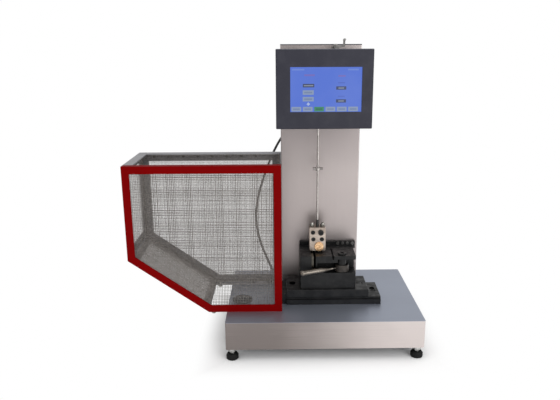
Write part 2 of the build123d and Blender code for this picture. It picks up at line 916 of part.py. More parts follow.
def cage_bolts():
    """Hexagon bolts of the rings, two into the column, and the top rail's row of screws."""
    bolts = []
    for x, y in cage_bolt_places():
        z = base_top_z + angle_thickness
        bolts.append(bolt_head(x, y, z) + post(x, y, z - 8, z, cage_bolt_radius))
    for x, y in corner_bolt_places():
        z = base_top_z + angle_thickness
        nut = hexagon(x, y, base_top_z - 5, base_top_z, 10)
        bolts.append(bolt_head(x, y, z) + post(x, y, base_top_z - 7, z, cage_bolt_radius) + nut)
    for z in side_bolt_heights():
        x = cage_right - angle_thickness
        y = cage_back - back_angle / 2
        bolts.append(bar_x(y, z, x - 4.2, x, 5) + bar_x(y, z, x, column_left + column_wall + 6, 3))
    z = cage_top_z - back_hole_drop
    for x in rail_screw_places():
        screw = shaft(x, z, cage_back - angle_thickness + 0.1, cage_back, back_hole_radius)
        bolts.append(screw + shaft(x, z, cage_back, cage_back + 2.4, back_hole_radius + 2.2))
    return group(bolts)


def vice_base_plate():
    """Base plate with a stepped front lip and a counterbored slot near each end."""
    z0, z1 = base_top_z, base_top_z + plate_height
    plate = box_between(plate_left, plate_right, plate_front, plate_back, z0, z1)
    lip_top = z0 + plate_lip_height
    plate += box_between(plate_left, plate_right, plate_front - plate_lip, plate_front, z0, lip_top)
    plate = chamfer(plate.edges().filter_by(Axis.X).group_by(Axis.Z)[-1].sort_by(Axis.Y)[0], 1.5)
    for x, y in vice_bolt_places():
        slot = extrude(SlotCenterToCenter(plate_slot, 6.6, rotation=90), amount=plate_height + 2)
        plate -= Pos(x, y, z0 - 1) * slot
        sink = extrude(SlotCenterToCenter(plate_slot, 11.6, rotation=90), amount=plate_height)
        plate -= Pos(x, y, z1 - 8) * sink
    return plate


def vice_end_plate():
    """Stop plate on the left end of the base plate."""
    z0 = base_top_z
    top = z0 + plate_height + 6
    plate = box_between(plate_left - end_plate, plate_left, plate_front + 3, plate_back, z0, top)
    for y in (plate_front + 20, plate_back - 16):
        plate -= bar_x(y, z0 + 10, plate_left - end_plate - 1, plate_left - end_plate + 5, 4.4)
    return plate


def vice_carrier_plate():
    """Carrier between base plate and vice, chamfered, with two tapped holes at its right."""
    z0 = base_top_z + plate_height
    z1 = carrier_top_z
    plate = box_between(plate_left + part_clearance, carrier_right, plate_front - 1, plate_back, z0, z1)
    plate = chamfer(plate.faces().sort_by(Axis.Z)[-1].edges(), 1.0)
    for x in (92.0, 103.0):
        plate -= post(x, -11, z1 - 12, z1 + 1, 2.1)
    x0, y0 = vice_bolt_places()[0]
    for y in (y0, vice_bolt_places()[1][1]):
        slot = extrude(SlotCenterToCenter(5, 14, rotation=90), amount=carrier_height + 2)
        plate -= Pos(x0, y, z0 - 1) * slot
    return plate


def vice_bolts():
    """Socket screws in the base plate's counterbores and along the keeper's fence."""
    screws = []
    for x, y in vice_bolt_places():
        z = base_top_z + plate_height - 8
        screw = post(x, y, z, z + 6, 5) + post(x, y, z - 18, z, 3)
        screws.append(screw - hexagon(x, y, z + 3, z + 7, 5))
    y = vice_back - fence_thickness
    for x, z in fence_screw_places():
        head = shaft(x, z, y - fence_head_height, y, fence_head_radius)
        socket = extrude(RegularPolygon(0.5 * fence_head_radius, 6), amount=2)
        head -= Pos(x, y - fence_head_height - 0.1, z) * Rot(X=-90) * socket
        screws.append(head + shaft(x, z, y, vice_back - 1, fence_screw_radius))
    return group(screws)


def fence_screw_places():
    """Row of cap screws that face the front, as x and z."""
    first = keeper_left + 16.5
    return [(first + n * fence_screw_pitch, vice_top_z + 0.55 * fence_height) for n in range(4)]


def vice_body():
    """Vice block: slot for the specimen, jaw channel, keeper seat and lever recess."""
    body = box_between(vice_left, vice_right, vice_front, vice_back, carrier_top_z, vice_top_z)
    body = chamfer(body.edges().filter_by(Axis.Z), 1.5)
    f = vice_front - 1
    right = vice_right + 1
    notch_back = vice_front + notch_depth
    slot_back = vice_front + slot_depth
    body -= box_between(notch_left, right, f, notch_back, notch_bottom_z, notch_top_z + 0.1)
    body -= box_between(slot_left, keeper_left + 0.1, f, slot_back, notch_top_z, vice_top_z + 1)
    body -= box_between(slot_left, slot_right, f, slot_back, slot_bottom_z, notch_top_z + 0.1)
    body -= box_between(keeper_left, right, f, vice_back + 1, keeper_bottom_z, vice_top_z + 1)
    body -= box_between(keeper_left, right, f, slot_back, notch_top_z, vice_top_z + 1)
    seat = slot_left - insert_thickness
    body -= box_between(seat, slot_left + 0.1, f, slot_back, slot_bottom_z, vice_top_z + 1)
    body -= post(cam_x, cam_y, notch_bottom_z - 20, notch_bottom_z + 1, cam_bolt_radius)
    return body + rear_fence(vice_left + 1.5, keeper_left, vice_top_z)


def rear_fence(x0, x1, z0):
    """One stretch of the raised edge along the vice's back."""
    front, top = vice_back - fence_thickness, vice_top_z + fence_height
    return box_between(x0, x1, front, vice_back, z0, top)


def fixed_jaw_insert():
    """Hardened jaw face let into the block, its front edge polished."""
    x0, y1 = slot_left - insert_thickness, vice_front + slot_depth
    insert = box_between(x0, slot_left, vice_front, y1, slot_bottom_z, vice_top_z)
    return chamfer(insert.faces().sort_by(Axis.Z)[-1].edges().sort_by(Axis.X)[-1], 0.4)


def jaw_keeper_plate():
    """Plate that holds the jaw down and carries the cam's bolt and its recess."""
    plate = box_between(keeper_left, vice_right, vice_front, vice_back, keeper_bottom_z, vice_top_z)
    plate = chamfer(plate.edges().filter_by(Axis.Z), 1.5)
    plate -= post(cam_x, cam_y, vice_top_z - 3, vice_top_z + 1, cam_bolt_head + 1.2)
    plate -= post(cam_x, cam_y, keeper_bottom_z - 1, vice_top_z, cam_bolt_radius + running_clearance)
    plate += rear_fence(keeper_left, vice_right, vice_top_z)
    plate += rear_fence(vice_right, vice_right + fence_overhang, keeper_bottom_z)
    for x, z in fence_screw_places():
        plate -= shaft(x, z, vice_back - fence_thickness - 1, vice_back - 1, fence_screw_radius)
    return plate


def cam_disc_centre():
    """Centre of the eccentric disc, at right angles to the push and half a travel out."""
    return cam_x - cam_throw / 2, cam_y - cam_throw * math.cos(math.radians(30))


def moving_jaw():
    """Sliding jaw with a step that runs under the keeper plate to the cam."""
    back = vice_front + slot_depth - part_clearance
    floor = notch_top_z + jaw_clearance
    front = box_between(slot_right, keeper_left - jaw_travel_gap, vice_front, back, floor, vice_top_z)
    tail_end = cam_disc_centre()[0] - cam_disc_radius - part_clearance
    tail_start = keeper_left - jaw_travel_gap - 1
    low, high = notch_top_z + jaw_clearance, keeper_bottom_z - jaw_clearance
    tail = box_between(tail_start, tail_end, vice_front + 1, back, low, high)
    return front + tail


def cam_pivot_bolt():
    """Shoulder bolt: round head with a hexagon socket, in the keeper's recess."""
    top = vice_top_z
    bolt = post(cam_x, cam_y, top - 3, top + 3, cam_bolt_head)
    bolt = chamfer(bolt.faces().sort_by(Axis.Z)[-1].edges(), 0.8)
    bolt -= hexagon(cam_x, cam_y, top, top + 4, 8)
    return bolt + post(cam_x, cam_y, notch_bottom_z - 16, top - 3, cam_bolt_radius)


def lever_direction():
    angle = math.radians(lever_angle)
    return math.cos(angle), math.sin(angle)


def cam_hub():
    """Lever hub with the eccentric disc above it and the neck that holds the grip."""
    hub = turned_z(
        [
            (0, notch_bottom_z + part_clearance),
            (cam_radius - 1.5, notch_bottom_z + part_clearance),
            (cam_radius, notch_bottom_z + 1.8),
            (cam_radius, hub_top_z - 1.5),
            (cam_radius - 1.5, hub_top_z),
            (0, hub_top_z),
        ],
        cam_x,
        cam_y,
    )
    x, y = cam_disc_centre()
    hub += post(x, y, hub_top_z - 1, keeper_bottom_z - part_clearance, cam_disc_radius)
    dx, dy = lever_direction()
    length = cam_radius + neck_length
    neck = Cylinder(neck_radius, length, align=(Align.CENTER, Align.CENTER, Align.MIN))
    hub += Location((cam_x, cam_y, lever_z)) * Rot(Z=lever_angle) * Rot(Y=90) * neck
    return hub - post(cam_x, cam_y, notch_bottom_z - 5, vice_top_z, cam_bolt_radius + running_clearance)


def lever_grip():
    """Turned aluminium grip, swelling from its neck to a rounded end."""
    start = cam_radius + grip_start
    end = grip_reach
    r = grip_radius
    stud_end = cam_radius + neck_length
    swell = Spline(
        (grip_neck, start),
        (grip_neck + 0.2, start + 9),
        (0.68 * r, start + 17),
        (0.88 * r, start + 45),
        (r, end - grip_nose),
    )
    nose = RadiusArc((r, end - grip_nose), (grip_bore, end), -grip_nose)
    bore = Polyline(
        (grip_bore, end),
        (grip_bore, stud_end),
        (neck_radius, stud_end),
        (neck_radius, start),
        (grip_neck, start),
    )
    grip = revolve(make_face([swell, nose, bore]), Axis.Y)
    return Location((cam_x, cam_y, lever_z)) * Rot(Z=lever_angle) * Rot(Z=-90) * grip


def pendulum_hub():
    """Clamping hub: round body, boss for the rod and a slit with its clamp screw."""
    hub = turned_y(
        [
            (shaft_radius, hub_front_y),
            (hub_radius - 2, hub_front_y),
            (hub_radius, hub_front_y + 2),
            (hub_radius, hub_back_y - 2),
            (hub_radius - 2, hub_back_y),
            (shaft_radius, hub_back_y),
        ],
        0,
        pivot_z,
    )
    hub += post(0, 0, pivot_z - hub_radius - 16, pivot_z - shaft_radius - 4, 7)
    hub -= post(0, 0, pivot_z - hub_radius - 17, pivot_z - shaft_radius - 5, rod_radius)
    return hub


def pendulum_rod():
    """Slim rod from the hub's socket down into the hammer block."""
    return post(0, 0, hammer_top_z - 14, pivot_z - shaft_radius - 5, rod_radius)


def tuning_collar():
    """Clamp collar on the rod with its cross pin."""
    z0 = collar_z - collar_height / 2
    collar = post(0, 0, z0, z0 + collar_height, collar_radius)
    collar = chamfer(collar.edges().filter_by(GeomType.CIRCLE), 0.8)
    collar += bar_x(0, collar_z, -collar_pin_reach, collar_pin_reach, collar_pin_radius)
    return collar - post(0, 0, z0 - 1, z0 + collar_height + 1, rod_radius)


def rod_ferrule():
    """Black locking sleeve where the rod enters the hammer."""
    z0 = hammer_top_z
    r = ferrule_radius
    z1 = z0 + ferrule_length
    points = [(rod_radius, z0), (r + 1, z0), (r + 1, z0 + 3), (r, z0 + 4), (r, z1), (rod_radius, z1)]
    return turned_z(points, 0, 0)


def hammer_nut_places():
    """The two cap nuts beside the rod, as x."""
    return -hammer_width / 3, hammer_width / 3


def hammer_hole_places():
    """Four screw holes of the hammer's cheeks, as x and z."""
    top = hammer_top_z
    return [(-10.6, top - 11.5), (7.2, top - 11.5), (-9.6, top - 27.5), (9.6, top - 27.5)]


def hammer_cheek(y0):
    """Cheek plate of the hammer with its screw holes."""
    half = hammer_width / 2
    plate = box_between(-half, half, y0, y0 + hammer_plate, hammer_bottom_z, hammer_top_z)
    plate = fillet(plate.edges().filter_by(Axis.Y), 2.0)
    for x, z in hammer_hole_places():
        plate -= shaft(x, z, y0 - 1, y0 + hammer_plate + 1, hammer_screw_radius)
    return plate


def hammer_front_plate():
    """Front cheek, counterbored for all screws but the trimming one."""
    front = -hammer_gap / 2 - hammer_plate
    plate = hammer_cheek(front)
    for n, (x, z) in enumerate(hammer_hole_places()):
        if n != trim_screw:
            plate -= shaft(x, z, front - 1, front + head_depth, head_radius + part_clearance)
    return plate


def hammer_back_plate():
    return hammer_cheek(hammer_gap / 2)


def hammer_block():
    """Block between the cheeks' upper halves, bored for the rod."""
    half = hammer_width / 2
    z0 = hammer_top_z - 31
    block = box_between(-half + 1, half - 1, -hammer_gap / 2, hammer_gap / 2, z0, hammer_top_z)
    block -= post(0, 0, hammer_top_z - 14, hammer_top_z + 1, rod_radius)
    for x, z in hammer_hole_places():
        block -= shaft(x, z, -hammer_gap, hammer_gap, hammer_screw_radius)
    for x in hammer_nut_places():
        block -= post(x, 0, hammer_top_z - 6, hammer_top_z + 1, hammer_screw_radius)
    return block


def striker_blade():
    """Striking nose between the cheeks: a wedge with a rounded edge facing the specimen."""
    edge = slot_right + 0.6
    z0 = hammer_bottom_z + 2
    z1 = hammer_top_z - 31
    h = hammer_gap / 2
    outline = [(edge, z0 + 11), (edge + 1.2, z0 + 9.6), (14, z0), (14, z1), (edge + 8, z1), (edge, z1 - 5)]
    return profile_xz(outline, -h, h)


def hammer_bolts():
    """Socket screws through the cheeks and two cap nuts on the hammer's top."""
    front = -hammer_gap / 2 - hammer_plate
    back = hammer_gap / 2 + hammer_plate - 0.5
    parts = []
    for n, (x, z) in enumerate(hammer_hole_places()):
        proud = n == trim_screw
        seat = front if proud else front + head_depth
        end = front - trim_head_height if proud else front + 0.4
        radius = trim_head_radius if proud else head_radius
        screw = shaft(x, z, seat, back, hammer_screw_radius) + shaft(x, z, end, seat, radius)
        socket = extrude(RegularPolygon(radius * 0.5, 6), amount=2.2)
        parts.append(screw - Pos(x, end - 0.2, z) * Rot(X=-90) * socket)
    for x in hammer_nut_places():
        nut = hexagon(x, 0, hammer_top_z, hammer_top_z + 5, 9.5)
        z = hammer_top_z + 5
        dome = turned_z([(0, z), (4.3, z), (3.4, z + 3), (0, z + 4.4)], x, 0)
        parts.append(nut + dome + post(x, 0, hammer_top_z - 6, hammer_top_z, hammer_screw_radius))
    return group(parts)


def brass_weight():
    """Turned brass disc on the front cheek, for trimming the energy."""
    y = -hammer_gap / 2 - hammer_plate
    r = brass_radius
    rim = y - brass_thickness
    points = [(0, y), (r, y), (r, rim + 0.8), (r - 0.8, rim), (3.2, rim), (2.4, rim + 0.8), (0, rim + 0.8)]
    return turned_y(points, brass_x, hammer_bottom_z + r - brass_overhang)


def cord_gland():
    """Gland nut on the rear cover and the tapered boot that the lead leaves through."""
    y0 = column_back + cover_thickness
    y1 = y0 + gland_length
    r = cord_radius
    nut = extrude(RegularPolygon(gland_radius, 6), amount=gland_length)
    nut = Pos(gland_x, y0, gland_z) * Rot(X=-90) * nut
    nut -= shaft(gland_x, gland_z, y0 + 4, y1 + 1, 5)
    tip = y1 + boot_length
    boot = turned_y([(0, y0 + 4), (5, y0 + 4), (5, y1 + 2), (r + 1, tip), (0, tip)], gland_x, gland_z)
    return group([nut, boot])


def cord_start_y():
    return column_back + cover_thickness + gland_length + boot_length


def cord_points():
    """Centre line of the lead, from the boot down to the coil on the table."""
    y = cord_start_y()
    floor = cord_radius
    return [
        (gland_x, y, gland_z),
        (gland_x - 2, y + 25, gland_z),
        (-39, 236, 462),
        (-63, 238, 445),
        (-86, 228, 416),
        (-107, 223, 374),
        (-128, 222, 318),
        (-146, 222, 254),
        (-148, 222, 190),
        (-134, 223, 134),
        (-116, 223, 90),
        (-100, 220, 52),
        (-80, 210, 20),
        (-52, 194, floor + 1),
        (-22, 184, floor),
        (coil_x, coil_y - coil_mean_radius - 2 * cord_radius, floor),
    ]


def tube_path(points):
    """Straight runs joined by tangent arcs as large as the runs allow, with their radii."""
    vectors = [Vector(*p) for p in points]
    radii = []
    for before, corner, after in zip(vectors, vectors[1:], vectors[2:]):
        first, second = corner - before, after - corner
        turn = math.radians(first.get_angle(second))
        radii.append(0.45 * min(first.length, second.length) / math.tan(turn / 2))
    return FilletPolyline(*vectors, radius=radii), radii


def mains_cord():
    """Free stretch of the lead."""
    path, radii = tube_path(cord_points())
    print("cord radii", [round(r) for r in radii], "length", round(path.length))
    start = Plane(origin=path @ 0, z_dir=path % 0)
    tube = sweep(start * Circle(cord_radius), path=path)
    print("cord volume ratio", round(tube.volume / (math.pi * cord_radius**2 * path.length), 4))
    return tube


def coil_edges():
    """Inner radius, outer radius and height of the coil."""
    half = coil_columns * cord_radius
    return coil_mean_radius - half, coil_mean_radius + half, coil_layers * 2 * cord_radius


def mains_coil():
    """Outer shape of the lead's coil."""
    inner, outer, height = coil_edges()
    ring = turned_z([(inner, 0), (outer, 0), (outer, height), (inner, height)], coil_x, coil_y)
    return ring


def mains_plug():
    """Moulded plug lying beside the coil: flexible tail, body and two blades."""
    x, y = plug_x, plug_y
    tail = box_between(x, x + 18, y - 4, y + 4, 3, 13)
    body = box_between(x + 18, x + 50, y - 13, y + 13, 0, 16)
    body = fillet(body.edges().filter_by(Axis.X), 4)
    plug = tail + body
    for side in (-6, 6):
        plug += box_between(x + 50, x + 68, y + side - 1, y + side + 1, 5, 11)
    return plug


def shift():
    """Moves the design axes so that the origin is at the middle of the footprint."""
    return Pos(-(cage_left + base_right) / 2, -(base_front + base_back) / 2, 0)


def write(name, shape):
    """Write one node in its final place."""
    moved = shift() * shape
    export_step(moved, "parts/" + name + ".step")


def main():
    os.makedirs("parts", exist_ok=True)
    parts = {
        "base_shell": base_shell(),
        "base_floor_plate": base_floor_plate(),
        "round_level": round_level(),
        "column_shell": column_shell(),
        "column_top_cap": column_top_cap(),
        "column_back_cover": column_back_cover(),
        "cover_screws": cover_screws(),
        "column_spine": column_spine(),
        "switch_frame": switch_frame(),
        "switch_rocker": switch_rocker(),
        "power_supply": power_supply(),
        "bridge_arm": bridge_arm(),
        "display_housing": display_housing(),
        "display_bezel": display_bezel(),
        "display_glass": display_glass(),
        "display_module": display_module(),
        "bearing_housing": bearing_housing(),
        "bearing_outer_rings": bearing_outer_rings(),
        "bearing_inner_rings": bearing_inner_rings(),
        "pivot_shaft": pivot_shaft(),
        "encoder_coupling": encoder_coupling(),
        "angle_encoder": angle_encoder(),
        "latch_bracket": latch_bracket(),
        "latch_lever": latch_lever(),
        "cage_front_frame": cage_front_frame(),
        "cage_back_frame": cage_back_frame(),
        "cage_cross_members": cage_cross_members(),
        "cage_mesh_front": cage_mesh_front(),
        "cage_mesh_back": cage_mesh_back(),
        "cage_mesh_sides": cage_mesh_sides(),
        "cage_bolts": cage_bolts(),
        "vice_base_plate": vice_base_plate(),
        "vice_end_plate": vice_end_plate(),
        "vice_carrier_plate": vice_carrier_plate(),
        "vice_body": vice_body(),
        "vice_bolts": vice_bolts(),
        "fixed_jaw_insert": fixed_jaw_insert(),
        "jaw_keeper_plate": jaw_keeper_plate(),
        "moving_jaw": moving_jaw(),
        "cam_pivot_bolt": cam_pivot_bolt(),
        "cam_hub": cam_hub(),
        "lever_grip": lever_grip(),
        "pendulum_hub": pendulum_hub(),
        "pendulum_rod": pendulum_rod(),
        "tuning_collar": tuning_collar(),
        "rod_ferrule": rod_ferrule(),
        "hammer_front_plate": hammer_front_plate(),
        "hammer_back_plate": hammer_back_plate(),
        "hammer_block": hammer_block(),
        "striker_blade": striker_blade(),
        "hammer_bolts": hammer_bolts(),
        "brass_weight": brass_weight(),
        "cord_gland": cord_gland(),
        "mains_cord": mains_cord(),
        "mains_coil": mains_coil(),
        "mains_plug": mains_plug(),
    }
    for index, (x, y) in enumerate(foot_places()):
        parts["levelling_foot_" + str(index + 1)] = levelling_foot(x, y)
    for name, shape in parts.items():
        write(name, shape)
    print(len(parts), "nodes")


main()
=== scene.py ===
import math

import bpy
import numpy as np
from mathutils import Matrix, Vector


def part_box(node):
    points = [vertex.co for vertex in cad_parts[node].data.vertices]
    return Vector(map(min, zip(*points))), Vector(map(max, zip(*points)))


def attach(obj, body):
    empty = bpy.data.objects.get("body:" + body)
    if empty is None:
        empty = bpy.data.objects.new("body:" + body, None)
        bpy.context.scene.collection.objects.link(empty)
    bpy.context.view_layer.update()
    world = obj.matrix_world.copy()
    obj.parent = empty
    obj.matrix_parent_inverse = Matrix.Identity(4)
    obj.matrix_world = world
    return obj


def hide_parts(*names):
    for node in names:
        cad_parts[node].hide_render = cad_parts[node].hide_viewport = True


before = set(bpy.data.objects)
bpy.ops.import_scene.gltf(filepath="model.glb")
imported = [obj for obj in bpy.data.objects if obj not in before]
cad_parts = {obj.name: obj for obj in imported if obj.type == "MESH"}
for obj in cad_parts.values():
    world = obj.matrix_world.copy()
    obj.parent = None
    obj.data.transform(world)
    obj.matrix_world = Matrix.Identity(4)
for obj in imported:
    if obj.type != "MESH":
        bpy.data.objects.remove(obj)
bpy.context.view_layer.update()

# The design's axes start on the ground, under the pendulum. This is that point in the shared
# frame, in metres.
PENDULUM = Vector((0.094, -0.010, 0.0))

# Metres: the lead's radius, the coil's middle in the design's x and y, and its widest turn.
CORD_RADIUS = 0.003
COIL_CENTRE = (0.012, 0.222)
OUTER_TURN = 0.039


def place(x, y, z):
    """A point given in the design's millimetres, as metres of the shared frame."""
    return np.array((x, y, z)) / 1000 + np.array(PENDULUM)


def linked(name, data):
    """A new object in the scene, made from its data."""
    item = bpy.data.objects.new(name, data)
    bpy.context.scene.collection.objects.link(item)
    return item


# Shader maths

class Value:
    """A socket in a finish's tree, with Python's operators standing for Math nodes."""

    def __init__(self, finish, socket):
        self.finish = finish
        self.socket = socket

    def math(self, operation, *others):
        return self.finish.node(
            "ShaderNodeMath", {"operation": operation}, dict(enumerate((self, *others)))
        )

    def __add__(self, other):
        return self.math("ADD", other)

    def __radd__(self, other):
        return self.math("ADD", other)

    def __sub__(self, other):
        return self.math("SUBTRACT", other)

    def __rsub__(self, other):
        return self.finish.node("ShaderNodeMath", {"operation": "SUBTRACT"}, {0: other, 1: self})

    def __mul__(self, other):
        return self.math("MULTIPLY", other)

    def __abs__(self):
        return self.math("ABSOLUTE")

    def between(self, low, high):
        """0 below low, 1 above high, and a smooth rise from one to the other."""
        return self.finish.node(
            "ShaderNodeMapRange",
            {"interpolation_type": "SMOOTHSTEP"},
            {"Value": self, "From Min": low, "From Max": high},
        )


class Finish:
    """The shader tree of one material, or of the world, and its nodes as they are made."""

    def __init__(self, name, holder=None):
        self.material = holder or bpy.data.materials.new(name)
        self.material.use_nodes = True
        self.nodes = self.material.node_tree.nodes
        self.links = self.material.node_tree.links
        self.nodes.clear()

    def node(self, kind, settings=None, inputs=None, out=0):
        """A node of a kind: its settings first, then the values or links of its sockets."""
        node = self.nodes.new(kind)
        for key, value in (settings or {}).items():
            setattr(node, key, value)
        for key, value in (inputs or {}).items():
            if isinstance(value, Value):
                self.links.new(value.socket, node.inputs[key])
            else:
                node.inputs[key].default_value = value
        return Value(self, node.outputs[out])

    def at(self):
        """The point of the surface in the object's own axes, in metres."""
        return self.node("ShaderNodeTexCoord", out=3)

    def axes(self, point=None):
        """The x, y and z of a point, as three values."""
        split = self.node("ShaderNodeSeparateXYZ", None, {0: point or self.at()}).socket.node
        return [Value(self, split.outputs[n]) for n in range(3)]

    def stretched(self, scale, centre=(0, 0, 0), turn=(0, 0, 0)):
        """Object coordinates moved to a centre, turned, and scaled along each axis."""
        moved = self.node(
            "ShaderNodeVectorMath", {"operation": "SUBTRACT"}, {0: self.at(), 1: centre}
        )
        turned = self.node("ShaderNodeMapping", {"vector_type": "TEXTURE"}, {0: moved, 2: turn})
        return self.node("ShaderNodeMapping", None, {0: turned, 3: scale})

    def noise(self, scale, detail, roughness):
        """Noise with so many waves a metre: one number, or one for each axis."""
        scales = scale if isinstance(scale, tuple) else (scale, scale, scale)
        vector = self.stretched(scales)
        return self.node(
            "ShaderNodeTexNoise",
            None,
            {"Vector": vector, "Scale": 1.0, "Detail": detail, "Roughness": roughness},
        )

    def waves(self, distance, pitch):
        """A sine between 0 and 1 that repeats at each pitch along a distance."""
        return (distance * (2 * math.pi / pitch)).math("SINE") * 0.5 + 0.5

    def mix(self, amount, first, second):
        """A colour between two colours."""
        return self.node(
            "ShaderNodeMix",
            {"data_type": "RGBA"},
            {
                0: amount,
                6: first if isinstance(first, Value) else (*first, 1),
                7: second if isinstance(second, Value) else (*second, 1),
            },
            out=2,
        )

    def bump(self, height, strength, distance):
        """The normal of a relief. The distance is the relief's full depth in metres."""
        return self.node(
            "ShaderNodeBump",
            None,
            {"Strength": strength, "Distance": distance, "Height": height},
        )

    def surface(self, colour, **sockets):
        """The finished shader. Sockets are named as on Blender's own, with _ for a space."""
        inputs = {"Base Color": colour if isinstance(colour, Value) else (*colour, 1)}
        for key, value in sockets.items():
            inputs[key.replace("_", " ")] = value
        return self.end(self.node("ShaderNodeBsdfPrincipled", None, inputs))

    def end(self, shader, kind="ShaderNodeOutputMaterial"):
        """Link a shader to the tree's output."""
        out = self.nodes.new(kind)
        self.links.new(shader.socket, out.inputs[0])
        return self.material

    def ray(self, *kinds):
        """1 for rays of the given kinds, such as "Camera", and 0 for all others."""
        found = [self.node("ShaderNodeLightPath", out=f"Is {kind} Ray") for kind in kinds]
        total = found[0]
        for value in found[1:]:
            total = total.math("MAXIMUM", value)
        return total


def tone(red, green, blue):
    """A colour given in the usual 0 to 255 steps of a screen, as linear light."""
    steps = np.array((red, green, blue)) / 255
    linear = np.where(steps <= 0.04045, steps / 12.92, ((steps + 0.055) / 1.055) ** 2.4)
    return tuple(float(v) for v in linear)


# Finishes

# Brushed sheet has streaks too, with this share of its hairlines' waves a metre.
STREAK = 0.12


def brushed_sheet(name, light, dark, grain, band, tones, roughness, bright_at=None):
    """Brushed stainless sheet: faint hairlines along one axis, and soft handling marks.

    Painted light shows in other tones in a band of heights: a painted reflection on the base's top,
    painted shade on the column. It starts between the first two of its four numbers and ends
    between the last two. A painted gradient of light turns the sheet from dark to light between the
    two x of bright_at.
    """
    f = Finish(name)
    x, _, z = f.axes()
    lines = f.noise(grain, 3.0, 0.6)
    streaks = f.noise(tuple(g * STREAK for g in grain), 2.0, 0.5)
    cloud = f.noise(7, 3.0, 0.5)
    grainy = (lines - 0.5) * 0.3 + (streaks - 0.5) * 0.12 + (cloud - 0.5) * 0.5
    # Painted light: between the two x of bright_at the sheet turns from painted shade to light.
    painted_light_ramp = x.between(*bright_at) if bright_at else 0.5
    colour = f.mix(grainy + painted_light_ramp, dark, light)
    # Painted light in the band: a painted reflection on the base's top, painted shade on the
    # column.
    painted_band = z.between(*band[:2]) * (1 - z.between(*band[2:]))
    colour = f.mix(painted_band, colour, f.mix(cloud, *tones))
    rough = roughness + (lines - 0.5) * 0.08 + (cloud - 0.5) * 0.1
    normal = f.bump(lines, 0.12, 0.00005)
    return f.surface(colour, Metallic=0.9, Roughness=rough, Normal=normal)


def coated(name, colour, worn, roughness, shine=0.5):
    """Stove paint: fine orange peel, a little dust, and slight colour drift."""
    f = Finish(name)
    peel = f.noise(220, 2.0, 0.5)
    drift = f.noise(14, 4.0, 0.6)
    specks = f.noise(900, 2.0, 0.6).between(0.68, 0.8)
    shade = f.mix(drift.between(0.3, 0.75), colour, worn)
    shade = f.mix(specks * 0.12, shade, worn)
    return f.surface(
        shade,
        Roughness=roughness + (drift - 0.5) * 0.2,
        Specular_IOR_Level=shine,
        Normal=f.bump(peel, 0.18, 0.0002),
    )


def ground_steel(name, light, dark, grain=(1400, 1400, 90), roughness=0.24):
    """Ground bright steel: fine lines round or across the piece."""
    f = Finish(name)
    lines = f.noise(grain, 3.0, 0.6)
    cloud = f.noise(60, 3.0, 0.5)
    colour = f.mix((lines * 0.6 + cloud * 0.4).between(0.35, 0.7), dark, light)
    rough = roughness + (lines - 0.5) * 0.12 + (cloud - 0.5) * 0.14
    return f.surface(colour, Metallic=1.0, Roughness=rough, Normal=f.bump(lines, 0.2, 0.00005))


def turned_metal(name, light, dark, centre, turn, feed=0.0007):
    """Lathe-turned metal: fine rings at a steady feed along the axis that turn sets as local z."""
    f = Finish(name)
    along = f.axes(f.stretched((1, 1, 1), centre, turn))[2]
    groove = f.waves(along, feed)
    stain = f.noise(160, 4.0, 0.6)
    colour = f.mix((groove * 0.25 + stain * 0.75).between(0.25, 0.75), dark, light)
    rough = 0.3 + (stain - 0.5) * 0.22
    return f.surface(colour, Metallic=1.0, Roughness=rough, Normal=f.bump(groove, 0.25, 0.00006))


def faced_brass(name, centre, feed=0.0006):
    """Brass disc faced on a lathe: rings round its own middle."""
    f = Finish(name)
    x, _, z = f.axes(f.stretched((1, 1, 1), centre))
    radius = (x * x + z * z).math("SQRT")
    groove = f.waves(radius, feed)
    stain = f.noise(260, 4.0, 0.6)
    colour = f.mix(stain.between(0.3, 0.7), tone(198, 150, 105), tone(246, 212, 170))
    return f.surface(
        colour,
        Metallic=1.0,
        Roughness=0.24 + (stain - 0.5) * 0.2,
        Normal=f.bump(groove, 0.3, 0.00005),
    )


def black_oxide(name, light, dark, bloom_tone=tone(62, 54, 46), shaded=None):
    """Oiled black oxide over milled steel: cutter lines, brownish bloom and oily patches.

    Where a height is given as shaded, the steel above it is painted shade: no bloom, and dark all
    over.
    """
    f = Finish(name)
    cutter = f.noise((70, 900, 900), 3.0, 0.6)
    bloom = f.noise(38, 5.0, 0.6)
    oil = f.noise(85, 3.0, 0.5).between(0.42, 0.62)
    colour = f.mix(bloom.between(0.35, 0.72), dark, light)
    colour = f.mix(bloom.between(0.6, 0.85) * 0.35, colour, bloom_tone)
    # Painted shade: the steel above the height shaded is dark all over.
    if shaded:
        above = f.axes()[2].between(shaded - 0.001, shaded)
        colour = f.mix(above, colour, dark)
    rough = 0.5 - oil * 0.2 + (cutter - 0.5) * 0.2
    return f.surface(colour, Metallic=0.55, Roughness=rough, Normal=f.bump(cutter, 0.22, 0.0001))


# A painted highlight just below a moulding's top edge, for light on its bevel: its depth in metres,
# the share that shows, and its colour.
HIGHLIGHT_DEPTH = 0.0018
HIGHLIGHT_SHARE = 0.55
EDGE_HIGHLIGHT = tone(140, 140, 146)


def moulded(name, colour, worn, roughness, coat=0.0, shine=0.5, edge=None):
    """Moulded plastic: spark-eroded grain and faint scuffs, and a painted highlight just below an
    edge.
    """
    f = Finish(name)
    grit = f.noise(1500, 2.0, 0.6)
    scuff = f.noise((30, 90, 30), 5.0, 0.65)
    shade = f.mix(scuff.between(0.4, 0.8), colour, worn)
    # Painted highlight: a light band just below the edge, for light on a bevel.
    if edge:
        painted_highlight = f.axes()[2].between(edge - HIGHLIGHT_DEPTH, edge)
        shade = f.mix(painted_highlight * HIGHLIGHT_SHARE, shade, EDGE_HIGHLIGHT)
    return f.surface(
        shade,
        Roughness=roughness + (scuff - 0.5) * 0.22,
        Specular_IOR_Level=shine,
        Coat_Weight=coat,
        Normal=f.bump(grit, 0.2, 0.0001),
    )


